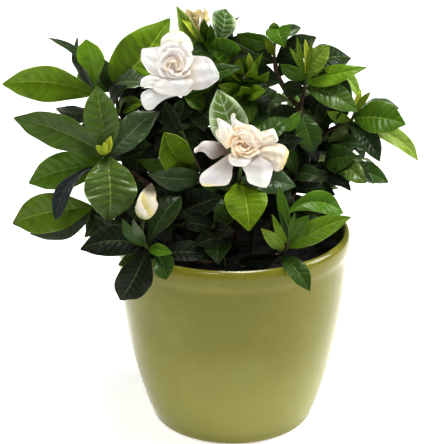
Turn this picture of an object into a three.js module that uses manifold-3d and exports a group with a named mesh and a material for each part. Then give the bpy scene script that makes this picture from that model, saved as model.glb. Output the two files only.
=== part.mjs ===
// Potted gardenia: a young shrub in a round glazed pot, with two open blooms, a bud and a spent bloom.
// Millimetres, +Z up, with the origin in the middle of the pot's foot and the viewer on the -Y side.

import * as THREE from 'three';
import { mergeVertices } from 'three/addons/utils/BufferGeometryUtils.js';
import Module from 'manifold-3d';

const wasm = await Module();
wasm.setup();

// Driving dimensions of the pot and its soil
const POT_HEIGHT = 155;
const POT_SIDES = 32;
const SOIL_SIDES = 20;
const RIM_BAND = 15;
const RIM_RADIUS = 90;
const BODY_RADIUS = 88;
const BODY_FLARE = 26;
const BODY_CURVE = 1.9;
const FOOT_RADIUS = 58;
const FOOT_ROUND = 5;
const WALL = 4.6;
const FLOOR = 6;
const FLOOR_RADIUS = 55;
const SOIL_TOP = 137;
const SOIL_LUMPS = 1.6;
const GAP = 0.4;
const HOLE_DEEPER = 0.04;

// Driving dimensions of the plant
const BLADE = 0.7;
const PETAL = 0.8;
const ROOT_MARGIN = 0.06;
const START_RUN = 3;
const STEM_SIDES = 5;
const STEM_STEP = 24;
const LEAF_FOLD = 0.22;
const WIDE_ROWS = [0.1, 0.36, 0.64, 0.87];
const NARROW_ROWS = [0.12, 0.45, 0.8];
const TINY_ROWS = [0.15, 0.6];
const NARROW_WIDTH = 24;
const TINY_WIDTH = 9;
const PETAL_ROWS = [0.16, 0.55, 0.86];
const INNER_ROWS = [0.3, 0.8];

// The eye from which the plant's places were judged
const EYE = new THREE.Vector3(0, -1188, 629);

// A place [x, z, y] is where a point shows on the upright plane through the pot's axis, and its depth y.
// The point itself lies on the sight line through that place.
function seen([x, z, y]) {
  const share = (y - EYE.y) / -EYE.y;
  return new THREE.Vector3(x * share, y, EYE.z + (z - EYE.z) * share);
}

// Woody stems, each node a list of branches: the branch's radius and the places that it runs through
const WOOD = {
  'woody-stem-right': [
    [2.6, [[24, 118, 12], [30, 150, 8], [47, 184, 2], [58, 200, 0], [64, 228, 0], [57, 242, 1],
      [49, 250, 2]]],
    [2.0, [[50, 249, 2], [40, 262, 2], [33, 276, 2], [31, 288, 3]]],
    [1.8, [[49, 250, 2], [52, 256, 0], [53, 263, -2]]],
    [1.8, [[64, 224, 0], [74, 233, 0], [84, 237, -1]]],
    [1.5, [[58, 200, 0], [63, 205, -2], [66, 206, -6]]],
    [1.5, [[57, 242, 1], [52, 245, -3], [50, 246, -7]]],
  ],
  'woody-stem-left': [
    [2.5, [[-20, 118, 10], [-26, 148, 8], [-50, 178, -6], [-76, 198, -26], [-87, 205, -32]]],
    [2.0, [[-50, 178, -6], [-68, 212, -4], [-80, 234, -6], [-90, 246, -8]]],
    [1.5, [[-78, 230, -5], [-82, 242, 0], [-84, 247, 2]]],
    [1.6, [[-48, 176, -5], [-70, 175, -14], [-82, 174, -22]]],
  ],
  'woody-stem-centre': [
    [2.6, [[2, 118, 14], [2, 150, 12], [-2, 196, 8], [3, 236, 4], [8, 258, 2]]],
    [1.9, [[-1, 200, 8], [-18, 232, -6], [-34, 254, -16]]],
    [1.8, [[3, 236, 4], [-6, 268, 4], [-13, 288, 4]]],
    [1.8, [[2, 160, 12], [4, 178, -14], [5, 190, -34]]],
    [1.6, [[-1, 184, 9], [-10, 187, -2], [-17, 190, -11]]],
  ],
  'woody-stem-front': [
    [2.2, [[-6, 112, -18], [-8, 122, -22], [-34, 127, -44], [-54, 131, -56]]],
    [2.0, [[-8, 120, -21], [14, 126, -40], [34, 131, -56]]],
  ],
};

// Leafy shoots: the woody branch that each grows from, the places of its green stem after that, the bloom
// that it carries, the stem's radius, and leaves as
// [where along the stem, tip [x, z, y], width, turn in degrees about its length, arch]
const SHOOTS = {
  'shoot-upper-left': {
    from: ['woody-stem-left', 1],
    stem: [[-99, 258, -10], [-103, 266, -12]],
    radius: 1.6,
    leaves: [
      [0.8, [-169, 268, -16], 28, 22, 6],
      [1, [-137, 304, 4], 20, 76, 5],
      [0.9, [-115, 303, -8], 20, 60, 3],
      [1, [-108, 301, -20], 16, 18, 3],
      [0.1, [-132, 249, 6], 20, 35, 4],
    ],
  },
  'shoot-behind-bloom': {
    from: ['woody-stem-left', 2],
    stem: [[-86, 262, 1], [-87, 270, 0]],
    radius: 1.4,
    leaves: [
      [0.9, [-46, 317, 4], 31, 12, 5],
      [1, [-63, 268, -14], 18, 35, 4],
      [0.7, [-112, 288, 34], 24, 30, 5],
    ],
  },
  'shoot-left': {
    from: ['woody-stem-left', 0],
    stem: [[-92, 210, -37], [-94, 214, -41]],
    radius: 1.6,
    leaves: [
      [1, [-100, 267, -34], 25, 8, 5],
      [0.7, [-162, 241, -34], 25, 14, 6],
      [0.4, [-152, 189, -38], 25, 12, 6],
      [0.9, [-94, 159, -64], 38, 4, 8],
      [0.8, [-55, 247, -36], 23, 22, 5],
      [0.5, [-61, 222, -28], 17, 45, 4],
      [0.1, [-139, 161, -64], 18, 50, 12],
      [1, [-89, 224, -50], 5, 10, 1],
      [1, [-98, 223, -52], 5, 0, 1],
    ],
  },
  'shoot-lower-left': {
    from: ['woody-stem-left', 3],
    stem: [[-98, 172, -28], [-107, 171, -32]],
    radius: 1.5,
    leaves: [
      [1, [-168, 157, -38], 30, 10, 6],
      [0.8, [-155, 147, -22], 20, 34, 5],
      [0.9, [-112, 146, -48], 17, 40, 4],
      [0.5, [-128, 186, 4], 20, 30, 5],
    ],
  },
  'shoot-front-left': {
    from: ['woody-stem-front', 0],
    stem: [[-61, 134, -62], [-66, 138, -68], [-69, 150, -72], [-68, 160, -75]],
    radius: 1.5,
    leaves: [
      [0.5, [-117, 136, -76], 23, 18, 8],
      [0.6, [-87, 93, -74], 26, 14, 7],
      [0.4, [-84, 122, -84], 10, 10, 3],
      [0.55, [-97, 152, -60], 13, 25, 3],
      [0.62, [-90, 165, -84], 13, 30, 3],
      [0.7, [-80, 163, -86], 9, 20, 3],
      [0.35, [-54, 110, -86], 15, 12, 4],
      [0.6, [-38, 173, -54], 17, 28, 4],
      [0.3, [-13, 130, -66], 17, 30, 6],
    ],
  },
  'shoot-centre-left': {
    from: ['woody-stem-centre', 4],
    stem: [[-28, 208, -28], [-38, 231, -40]],
    radius: 1.4,
    leaves: [
      [1, [-42, 201, -60], 25, 0, -5],
      [0.45, [-62, 196, -50], 18, 18, 4],
      [0.6, [-72, 207, -26], 14, 40, 3],
      [0.95, [-50, 255, -24], 15, 35, 3],
      [0.2, [-13, 166, -46], 18, 12, 4],
      [0.3, [-48, 172, -20], 22, 24, 5],
    ],
  },
  'shoot-lower-bloom': {
    from: ['woody-stem-centre', 3],
    stem: [[6, 201, -50]],
    carries: 'bloom-lower',
    radius: 1.5,
    leaves: [
      [0.2, [12, 151, -72], 33, 4, 6],
      [0.6, [-11, 264, -46], 27, 8, 3],
      [0.3, [48, 188, -50], 20, 24, 5],
      [0.6, [42, 243, -36], 19, 30, 4],
    ],
  },
  'shoot-upper-bloom': {
    from: ['woody-stem-centre', 1],
    stem: [[-37, 262, -22]],
    carries: 'bloom-upper',
    radius: 1.5,
    leaves: [
      [0.2, [-8, 272, -20], 12, 40, 3],
      [0.5, [6, 283, -26], 12, 70, 3],
    ],
  },
  'shoot-top': {
    from: ['woody-stem-centre', 2],
    stem: [[-19, 299, 2], [-25, 305, 1]],
    radius: 1.3,
    leaves: [
      [0.75, [-40, 326, -14], 11, 8, 2],
      [0.6, [-20, 318, -14], 8, 20, 1],
      [0.4, [-11, 325, 4], 14, 15, 2],
      [0.1, [5, 323, 12], 14, 68, 3],
    ],
  },
  'shoot-upper-centre': {
    from: ['woody-stem-centre', 0],
    stem: [[11, 269, -3], [13, 277, -6]],
    radius: 1.4,
    leaves: [
      [1, [7, 287, -8], 5, 10, 1],
      [1, [19, 284, -10], 5, 0, 1],
      [0.8, [-2, 270, -16], 6, 20, 1],
      [0.6, [23, 263, -18], 7, 10, 1],
      [0.2, [14, 238, -16], 14, 12, 3],
      [0.7, [36, 270, -12], 15, 32, 3],
      [0.9, [-28, 295, -4], 25, 14, 5],
    ],
  },
  'shoot-top-right': {
    from: ['woody-stem-right', 1],
    stem: [[31, 298, 2], [32, 306, 1]],
    radius: 1.3,
    leaves: [
      [0.6, [5, 304, -2], 16, 62, 3],
      [1, [38, 295, -16], 15, 8, 9],
      [0.9, [50, 312, 2], 7, 12, 2],
      [0.1, [24, 303, -4], 6, 10, 1],
    ],
  },
  'shoot-right-upper': {
    from: ['woody-stem-right', 2],
    stem: [[54, 270, -4], [54, 276, -6]],
    radius: 1.4,
    leaves: [
      [1, [45, 296, -4], 5, 10, 1],
      [1, [50, 297, -10], 5, 0, 1],
      [0.9, [71, 298, -10], 16, 15, 3],
      [0.7, [87, 284, 4], 18, 30, 8],
      [0.8, [99, 281, -14], 15, 14, 4],
      [0.3, [90, 244, -24], 20, 18, 4],
      [0.5, [91, 255, -12], 14, 45, 9],
      [0.8, [35, 283, -14], 11, 18, 2],
      [0.4, [45, 306, 10], 19, 18, 3],
    ],
  },
  'shoot-right': {
    from: ['woody-stem-right', 3],
    stem: [[89, 241, -4], [91, 246, -6]],
    radius: 1.4,
    leaves: [
      [1, [95, 264, -6], 5, 0, 1],
      [1, [102, 262, -10], 5, 8, 1],
      [0.8, [129, 237, -14], 20, 12, 5],
      [1, [124, 252, 6], 16, 42, 4],
      [0.5, [140, 208, -26], 15, 22, 12],
      [0.4, [104, 208, -22], 15, 30, 5],
      [0.2, [96, 213, -8], 12, 40, 5],
      [0.6, [70, 247, -14], 8, 10, 2],
      [0.3, [72, 223, -16], 10, 20, 3],
    ],
  },
  'shoot-right-lower': {
    from: ['woody-stem-right', 4],
    stem: [[70, 205, -12], [73, 203, -17]],
    radius: 1.3,
    leaves: [
      [0.5, [91, 218, -16], 19, 18, 4],
      [0.9, [101, 191, -28], 13, 20, 4],
      [0.4, [91, 193, 2], 16, 24, 4],
      [1, [104, 188, -44], 16, 20, 15],
      [0.2, [50, 189, -16], 12, 20, 3],
    ],
  },
  'shoot-right-middle': {
    from: ['woody-stem-right', 5],
    stem: [[50, 246, -12], [51, 247, -16]],
    radius: 1.3,
    leaves: [
      [0.8, [61, 214, -22], 19, 14, 4],
      [0.5, [71, 255, -8], 14, 25, 3],
      [1, [38, 231, -26], 10, 30, 2],
    ],
  },
  'shoot-front-right': {
    from: ['woody-stem-front', 1],
    stem: [[42, 138, -67], [43, 147, -71]],
    radius: 1.5,
    leaves: [
      [0.9, [81, 165, -62], 25, 20, 10],
      [0.7, [89, 161, -80], 21, 14, 6],
      [0.9, [57, 168, -82], 11, 10, 2],
      [0.4, [19, 154, -74], 13, 12, 3],
      [0.55, [60, 101, -90], 16, 14, 9],
      [0.1, [5, 126, -66], 15, 24, 4],
      [1, [30, 165, -74], 5, 8, 1],
      [1, [35, 168, -68], 5, 0, 1],
      [1, [39, 170, -78], 5, 10, 1],
      [0.8, [31, 157, -84], 5, 4, 1],
    ],
  },
};

// Open blooms: the heart's place, how far it stands out, and outer petals as [tip, width, arch]
const BLOOMS = {
  'bloom-lower': {
    heart: [7, 221, -76],
    petals: [
      [[-12, 243, -74], 16, 5],
      [[2, 246, -70], 16, 5],
      [[31, 235, -72], 20, 5],
      [[42, 214, -76], 22, 6],
      [[20, 185, -80], 21, 6],
      [[4, 192, -74], 18, 5],
      [[-22, 186, -76], 22, 6],
      [[-28, 215, -72], 20, 5],
    ],
  },
  'bloom-upper': {
    heart: [-43, 281, -38],
    petals: [
      [[-41, 310, -32], 26, 6],
      [[-61, 300, -30], 20, 5],
      [[-70, 286, -32], 22, 6],
      [[-67, 264, -36], 20, 5],
      [[-57, 249, -38], 17, 5],
      [[-33, 253, -40], 20, 5],
      [[-12, 266, -36], 22, 6],
      [[-8, 286, -34], 24, 6],
    ],
  },
};
const BLOOM_DEPTH = 13;
const CONE_RADIUS = 7.5;
const CONE_FOOT = 2.6;
const CALYX = 7;
const CALYX_RADIUS = 3;
const HEART_RADIUS = 5.5;
const HEART_HEIGHT = 8;
const INNER_PETALS = 5;
const INNER_RISE = 8;
const LAYER = 4;

// The closed bud and the spent bloom at the top
const BUD_PLACE = [[-68, 161, -75], [-61, 190, -74]];
const BUD_RADIUS = 8;
const SPENT_PLACE = [-25, 305, 2];
const SPENT_TIPS = [[-33, 324, 12], [-20, 327, 17], [-27, 319, 20]];
const NECK_RADIUS = 2.2;

// Shoots at the back and inside, as
// [foot [x, y] on the soil, end [x, y, z], pairs of leaves, their length, lean to the front, seed]
const FILL_SHOOTS = [
  ['shoot-back-1', [-20, 26], [-92, 48, 214], 3, 50, 0, 41],
  ['shoot-back-2', [-12, 34], [-60, 82, 192], 3, 46, 0, 10],
  ['shoot-back-3', [-8, 30], [-38, 62, 254], 3, 48, 0, 1],
  ['shoot-back-4', [-2, 42], [-6, 106, 200], 3, 42, 0, 16],
  ['shoot-back-5', [8, 36], [6, 50, 250], 3, 42, 0, 2],
  ['shoot-back-6', [14, 38], [46, 94, 224], 3, 41, 0, 4],
  ['shoot-back-7', [16, 26], [62, 42, 254], 3, 40, 0, 57],
  ['shoot-back-8', [20, 30], [74, 82, 194], 3, 44, 0, 224],
  ['shoot-back-9', [30, 14], [106, 22, 224], 3, 38, 0, 15],
  ['shoot-inner-1', [-40, 2], [-64, -2, 236], 3, 46, 80, 170],
  ['shoot-inner-2', [-30, -10], [-44, -32, 184], 3, 42, 80, 354],
  ['shoot-inner-3', [12, -6], [26, -18, 236], 3, 46, 80, 66],
  ['shoot-inner-4', [30, -4], [48, -22, 206], 3, 38, 80, 148],
  ['shoot-inner-5', [-4, -32], [-14, -52, 176], 2, 40, 80, 275],
];
const FILL_RADIUS = 1.9;
const FILL_DEPTH = 24;
const FILL_BOW = 16;
const FILL_START = 0.45;
const FILL_RISE = 60;
const SEED_STEP = 7919;

// The same sequence of draws between 0 and 1 on every run
function draws(seed) {
  let state = seed;
  return () => {
    state = (state * 16807) % 2147483647;
    return state / 2147483647;
  };
}

// A closed geometry as a solid, with its shared corners merged
function solidOf(geometry) {
  geometry.deleteAttribute('normal');
  geometry.deleteAttribute('uv');
  const merged = mergeVertices(geometry, 1e-4);
  const corners = Array.from(merged.index.array);
  const kept = [];
  for (let i = 0; i < corners.length; i += 3) {
    const [a, b, c] = corners.slice(i, i + 3);
    if (a !== b && b !== c && c !== a) {
      kept.push(a, b, c);
    }
  }
  return new wasm.Manifold(new wasm.Mesh({
    numProp: 3,
    vertProperties: new Float32Array(merged.attributes.position.array),
    triVerts: new Uint32Array(kept),
  }));
}

function geometryOf(solid) {
  const mesh = solid.getMesh();
  const geometry = new THREE.BufferGeometry();
  geometry.setAttribute('position', new THREE.BufferAttribute(new Float32Array(mesh.vertProperties), 3));
  geometry.setIndex(new THREE.BufferAttribute(new Uint32Array(mesh.triVerts), 1));
  geometry.computeVertexNormals();
  return geometry;
}

// Solids fused to one body, with any hollow that this seals filled and any scrap dropped
function joined(solids) {
  const shells = solids.reduce((whole, next) => whole.add(next)).decompose();
  return shells.reduce((largest, next) => (next.volume() > largest.volume() ? next : largest));
}

// The pot: a lathed bowl with a rounded foot, a curved side and a proud rim band
function bodyRadius(z) {
  return BODY_RADIUS - BODY_FLARE * (1 - z / (POT_HEIGHT - RIM_BAND)) ** BODY_CURVE;
}

function heights(from, to, count) {
  return Array.from({ length: count + 1 }, (_, i) => from + (to - from) * i / count);
}

function potGeometry() {
  const bandFoot = POT_HEIGHT - RIM_BAND;
  const foot = new THREE.EllipseCurve(FOOT_RADIUS, FOOT_ROUND, FOOT_ROUND, FOOT_ROUND, -Math.PI / 2, 0);
  const outside = heights(14, bandFoot, 5).map((z) => new THREE.Vector2(bodyRadius(z), z));
  const lip = new THREE.EllipseCurve(RIM_RADIUS - 2.6, POT_HEIGHT - 4, 2.6, 4, 0, Math.PI);
  const inside = heights(bandFoot, 16, 3).map((z) => new THREE.Vector2(bodyRadius(z) - WALL, z));
  const profile = [
    new THREE.Vector2(0, 0),
    ...foot.getPoints(2),
    ...outside,
    new THREE.Vector2(RIM_RADIUS - 0.4, bandFoot + 1.2),
    ...lip.getPoints(4),
    ...inside,
    new THREE.Vector2(FLOOR_RADIUS, FLOOR),
    new THREE.Vector2(0, FLOOR),
  ];
  const geometry = new THREE.LatheGeometry(profile, POT_SIDES);
  geometry.rotateX(Math.PI / 2);
  return geometry;
}

// The soil fills the pot to below its rim, with a lumpy top and plain holes for the stems
function soilSolid(stems) {
  const side = heights(16, SOIL_TOP, 2).map((z) => new THREE.Vector2(bodyRadius(z) - WALL - 3 * GAP, z));
  const top = [0.72, 0.36, 0].map((share) => new THREE.Vector2(share * BODY_RADIUS, SOIL_TOP));
  const profile = [
    new THREE.Vector2(0, FLOOR + GAP),
    new THREE.Vector2(FLOOR_RADIUS - 3 * GAP, FLOOR + GAP),
    ...side,
    ...top,
  ];
  const geometry = new THREE.LatheGeometry(profile, SOIL_SIDES);
  geometry.rotateX(Math.PI / 2);
  const place = geometry.attributes.position;
  for (let i = 0; i < place.count; i += 1) {
    const [x, y, z] = [place.getX(i), place.getY(i), place.getZ(i)];
    if (z > SOIL_TOP - 1 && Math.hypot(x, y) < BODY_RADIUS - WALL - 3) {
      place.setZ(i, z + SOIL_LUMPS * Math.sin(x * 0.21 + 1) * Math.cos(y * 0.17));
    }
  }
  return stems.reduce((soil, stem) => soil.subtract(stem), solidOf(geometry));
}

// A stem: a many-sided tube along a smooth curve through its points
function stemSolid(points, radius) {
  const corners = heights(0, 2 * Math.PI, STEM_SIDES).slice(0, STEM_SIDES)
    .map((angle) => new THREE.Vector2(radius * Math.cos(angle), radius * Math.sin(angle)));
  const extrudePath = stemCurve(points);
  const steps = Math.max(points.length - 1, Math.ceil(extrudePath.getLength() / STEM_STEP));
  return solidOf(new THREE.ExtrudeGeometry(new THREE.Shape(corners), {
    steps,
    extrudePath,
    bevelEnabled: false,
  }));
}

// The hole that a stem stands in, a little wider than it and a little deeper
function holeSolid([foot, next, ...rest], radius) {
  return stemSolid([foot.clone().lerp(next, -HOLE_DEEPER), next, ...rest], radius + 2 * GAP);
}

// Where a bloom's heart and foot are, and the way that it faces
function bloomAxis({ heart }) {
  const centre = seen(heart);
  const out = EYE.clone().sub(centre).normalize();
  return { centre, out, foot: centre.clone().addScaledVector(out, -BLOOM_DEPTH) };
}

// A turned shape stood on a line, its own height along it and its middle `rise` beyond a point
function aimed(geometry, point, way, rise) {
  geometry.rotateX(Math.PI / 2);
  geometry.lookAt(way);
  geometry.translate(...point.clone().addScaledVector(way, rise).toArray());
  return solidOf(geometry);
}

// Half the outline of a leaf and of a petal, from 0 at the root to 1 at the tip
function leafHalf(along) {
  return Math.sin(Math.PI * along ** 1.12) ** 0.85 * Math.min(1, 0.25 + 3 * along);
}

function petalHalf(along) {
  return Math.sin(Math.PI * along ** 1.5) ** 0.6 * Math.min(1, 0.5 + 1.2 * along);
}

// A closed blade from its root to its tip. It faces `facing`, turned about its length, its spine bows
// towards its face by `arch`, and `lift` raises its face from the spine to the edge.
function bladeSolid({ root, tip, width, turn = 0, arch = 0, facing, lift, half, rows, columns, thick }) {
  const line = tip.clone().sub(root);
  const along = line.clone().normalize();
  const flat = new THREE.Vector3().crossVectors(along, facing).normalize();
  const face = new THREE.Vector3().crossVectors(flat, along);
  const angle = THREE.MathUtils.degToRad(turn);
  const side = flat.clone().multiplyScalar(Math.cos(angle)).addScaledVector(face, Math.sin(angle));
  const up = face.clone().multiplyScalar(Math.cos(angle)).addScaledVector(flat, -Math.sin(angle));
  const spine = (u) => root.clone().addScaledVector(line, u).addScaledVector(up, arch * 4 * u * (1 - u));
  const corners = [];
  const add = (point) => corners.push(point) - 1;
  const first = add(root);
  const grid = rows.map((u) => {
    const slope = arch * 4 * (1 - 2 * u) / line.length();
    const normal = up.clone().addScaledVector(along, -slope).normalize();
    return heights(-1, 1, columns).map((v) => {
      const reach = Math.max(width / 2 * half(u), thick * 0.8);
      const middle = spine(u).addScaledVector(side, v * reach).addScaledVector(normal, lift(v) * reach);
      return [
        add(middle.clone().addScaledVector(normal, thick / 2)),
        add(middle.clone().addScaledVector(normal, -thick / 2)),
      ];
    });
  });
  const last = add(tip);
  const faces = [];
  const quad = (a, b, c, d) => faces.push(a, b, c, a, c, d);
  for (let i = 0; i + 1 < grid.length; i += 1) {
    for (let j = 0; j < columns; j += 1) {
      quad(grid[i][j][0], grid[i][j + 1][0], grid[i + 1][j + 1][0], grid[i + 1][j][0]);
      faces.push(grid[i][j][1], grid[i + 1][j + 1][1], grid[i][j + 1][1]);
      faces.push(grid[i][j][1], grid[i + 1][j][1], grid[i + 1][j + 1][1]);
    }
    quad(grid[i][0][0], grid[i + 1][0][0], grid[i + 1][0][1], grid[i][0][1]);
    quad(grid[i][columns][0], grid[i][columns][1], grid[i + 1][columns][1], grid[i + 1][columns][0]);
  }
  const cap = (row, pole, flip) => {
    const rim = [...row.map((pair) => pair[0]), ...row.map((pair) => pair[1]).reverse()];
    rim.forEach((corner, k) => {
      const next = rim[(k + 1) % rim.length];
      faces.push(...(flip ? [pole, corner, next] : [pole, next, corner]));
    });
  };
  cap(grid[0], first, false);
  cap(grid[grid.length - 1], last, true);
  return new wasm.Manifold(new wasm.Mesh({
    numProp: 3,
    vertProperties: new Float32Array(corners.flatMap((point) => point.toArray())),
    triVerts: new Uint32Array(faces),
  }));
}

function leafRows(width) {
  if (width < TINY_WIDTH) {
    return TINY_ROWS;
  }
  return width < NARROW_WIDTH ? NARROW_ROWS : WIDE_ROWS;
}

function leafSolid(leaf) {
  return bladeSolid({
    lift: (v) => LEAF_FOLD * Math.abs(v),
    half: leafHalf,
    rows: leafRows(leaf.width),
    columns: 2,
    thick: BLADE,
    ...leaf,
  });
}

function petalSolid(petal) {
  return bladeSolid({
    lift: (v) => petal.cup * v * v,
    half: petalHalf,
    rows: PETAL_ROWS,
    columns: 3,
    thick: PETAL,
    ...petal,
  });
}

// A point along a stem, a little short of its ends so that what grows there is rooted in it
function onStem(curve, where) {
  return curve.getPoint(THREE.MathUtils.lerp(ROOT_MARGIN, 1 - ROOT_MARGIN, where));
}

function stemCurve(points) {
  return new THREE.CatmullRomCurve3(points, false, 'catmullrom', 0.5);
}

// A shoot goes on from the end of its branch in the same direction, and may end under a bloom
function shootPoints({ from: [wood, branch], stem, carries }) {
  const [before, end] = WOOD[wood][branch][1].slice(-2).map(seen);
  const onward = end.clone().sub(before).normalize();
  const points = [GAP, START_RUN].map((run) => end.clone().addScaledVector(onward, run));
  points.push(...stem.map(seen));
  if (carries) {
    const { foot, out } = bloomAxis(BLOOMS[carries]);
    points.push(...[CALYX, GAP].map((run) => foot.clone().addScaledVector(out, -run)));
  }
  return points;
}

function calyxSolid(carries) {
  const { foot, out } = bloomAxis(BLOOMS[carries]);
  const cup = new THREE.CylinderGeometry(CALYX_RADIUS, CALYX_RADIUS / 2, CALYX, 6);
  return aimed(cup, foot, out, -GAP - CALYX / 2);
}

function shootSolid({ radius, leaves, ...shoot }) {
  const points = shootPoints(shoot);
  const curve = stemCurve(points);
  const calyx = shoot.carries ? [calyxSolid(shoot.carries)] : [];
  const blades = leaves.map(([where, place, width, turn, arch]) => {
    const root = onStem(curve, where);
    const facing = EYE.clone().sub(root).normalize();
    return leafSolid({ root, tip: seen(place), width, turn, arch, facing });
  });
  return joined([stemSolid(points, radius), ...calyx, ...blades]);
}

// A bloom: a cone that carries the petals, a pointed heart, a ring of upright inner petals that wrap the
// heart, and the spread outer petals, which lie over each other in two layers
function bloomSolid(bloom) {
  const { centre, out } = bloomAxis(bloom);
  const across = new THREE.Vector3(1, 0, 0);
  const upward = new THREE.Vector3().crossVectors(out, across);
  const cone = new THREE.CylinderGeometry(CONE_RADIUS, CONE_FOOT, BLOOM_DEPTH, 9);
  const heart = new THREE.SphereGeometry(1, 8, 5);
  heart.scale(HEART_RADIUS, HEART_HEIGHT, HEART_RADIUS);
  const outer = bloom.petals.map(([place, width, arch], i) => {
    const tip = seen(place);
    const way = tip.clone().sub(centre).normalize();
    const layer = i % 2 ? -LAYER : 0;
    const root = centre.clone().addScaledVector(way, CONE_RADIUS * 0.45).addScaledVector(out, layer - 4);
    tip.addScaledVector(out, layer);
    return petalSolid({ root, tip, width, arch, facing: out, cup: 0.16 });
  });
  const inner = heights(0, 2 * Math.PI, INNER_PETALS).slice(0, INNER_PETALS).map((angle, i) => {
    const spread = across.clone().multiplyScalar(Math.cos(angle)).addScaledVector(upward, Math.sin(angle));
    const reach = CONE_RADIUS + (i % 2 ? 0.6 : 2.4);
    const root = centre.clone().addScaledVector(spread, CONE_RADIUS * 0.7).addScaledVector(out, -4);
    const tip = centre.clone().addScaledVector(spread, reach).addScaledVector(out, INNER_RISE);
    const facing = spread.clone().negate();
    return petalSolid({ root, tip, width: 13, arch: -1.5, facing, cup: 0.35, rows: INNER_ROWS });
  });
  return joined([
    aimed(cone, centre, out, -BLOOM_DEPTH / 2),
    aimed(heart, centre, out, 1),
    ...outer,
    ...inner,
  ]);
}

// The closed bud: an upright spindle with spiral folds
function budSolid() {
  const [foot, top] = BUD_PLACE.map(seen);
  const length = top.distanceTo(foot);
  const profile = heights(0, 1, 8).map((share) => {
    const swell = Math.sin(Math.PI * share ** 0.85) ** 0.8;
    return new THREE.Vector2(share === 0 || share === 1 ? 0 : BUD_RADIUS * swell + 0.6, share * length);
  });
  profile.splice(1, 0, new THREE.Vector2(2.2, 0));
  const geometry = new THREE.LatheGeometry(profile, 12);
  const place = geometry.attributes.position;
  for (let i = 0; i < place.count; i += 1) {
    const [x, y, z] = [place.getX(i), place.getY(i), place.getZ(i)];
    const fold = 1 + 0.09 * Math.sin(3 * (Math.atan2(z, x) + y / length * 3.5));
    place.setXYZ(i, x * fold, y, z * fold);
  }
  return aimed(geometry, foot, top.clone().sub(foot).normalize(), 0);
}

// The spent bloom: a few shrivelled petals on a round neck
function spentSolid() {
  const foot = seen(SPENT_PLACE);
  const facing = EYE.clone().sub(foot).normalize();
  const neck = new THREE.SphereGeometry(NECK_RADIUS, 6, 4);
  neck.translate(foot.x, foot.y, foot.z + NECK_RADIUS + 1);
  const root = new THREE.Vector3(foot.x, foot.y, foot.z + NECK_RADIUS);
  const look = { root, facing, width: 7, arch: 2, cup: 0.5, rows: INNER_ROWS };
  const petals = SPENT_TIPS.map((tip) => petalSolid({ tip: seen(tip), ...look }));
  return joined([solidOf(neck), ...petals]);
}

// A shoot at the back or inside: pairs of leaves, each at right angles to the last, round a leaning stem
function fillStem([, [x, y], end]) {
  const foot = new THREE.Vector3(x, y, SOIL_TOP - FILL_DEPTH);
  const tip = new THREE.Vector3(...end);
  const bow = foot.clone().lerp(tip, 0.5).add(new THREE.Vector3(0, 0, FILL_BOW));
  return [foot, bow, tip];
}

function fillShootSolid(shoot) {
  const [, , , pairs, length, lean, seed] = shoot;
  const points = fillStem(shoot);
  const curve = stemCurve(points);
  const draw = draws(seed * SEED_STEP);
  const first = draw() * Math.PI;
  const blades = [];
  for (let pair = 0; pair < pairs; pair += 1) {
    const where = FILL_START + (1 - FILL_START) * pair / (pairs - 1);
    const root = onStem(curve, where);
    const heading = curve.getTangent(where);
    const facing = new THREE.Vector3(root.x, root.y - lean, FILL_RISE).normalize();
    const flat = new THREE.Vector3().crossVectors(heading, new THREE.Vector3(1, 0, 0.2)).normalize();
    for (let half = 0; half < 2; half += 1) {
      const angle = first + pair * Math.PI / 2 + half * Math.PI + (draw() - 0.5) * 0.7;
      const reach = length * (0.8 + 0.35 * draw()) * (pair === pairs - 1 ? 0.7 : 1);
      const width = reach * (0.42 + 0.1 * draw());
      const arch = 4 + 4 * draw();
      const rise = 0.35 + 0.3 * draw();
      const way = flat.clone().applyAxisAngle(heading, angle).addScaledVector(heading, rise).normalize();
      const tip = root.clone().addScaledVector(way, reach);
      blades.push(leafSolid({ root, tip, width, arch, facing, rows: NARROW_ROWS }));
    }
  }
  return joined([stemSolid(points, FILL_RADIUS), ...blades]);
}

// Materials
const glaze = new THREE.MeshStandardMaterial({ color: 0x8a8748, roughness: 0.22, metalness: 0 });
const earth = new THREE.MeshStandardMaterial({ color: 0x14110d, roughness: 0.95, metalness: 0 });
const bark = new THREE.MeshStandardMaterial({ color: 0x4a3a26, roughness: 0.8, metalness: 0 });
const leafGreen = new THREE.MeshStandardMaterial({ color: 0x3f6a16, roughness: 0.35, metalness: 0 });
const petalWhite = new THREE.MeshStandardMaterial({ color: 0xf6f1e4, roughness: 0.6, metalness: 0 });
const budCream = new THREE.MeshStandardMaterial({ color: 0xe9e3b4, roughness: 0.55, metalness: 0 });
const spentTan = new THREE.MeshStandardMaterial({ color: 0xb79a62, roughness: 0.8, metalness: 0 });

function meshOf(name, solid, material) {
  const mesh = new THREE.Mesh(geometryOf(solid), material);
  mesh.name = name;
  return mesh;
}

// Assembly
function groupOf(...members) {
  const group = new THREE.Group();
  group.add(...members);
  return group;
}

const potMesh = new THREE.Mesh(potGeometry(), glaze);
potMesh.name = 'pot';

const stemHoles = [
  ...Object.values(WOOD).flat().map(([radius, path]) => holeSolid(path.map(seen), radius)),
  ...FILL_SHOOTS.map((shoot) => holeSolid(fillStem(shoot), FILL_RADIUS)),
];
const soilMesh = meshOf('soil', soilSolid(stemHoles), earth);

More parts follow.
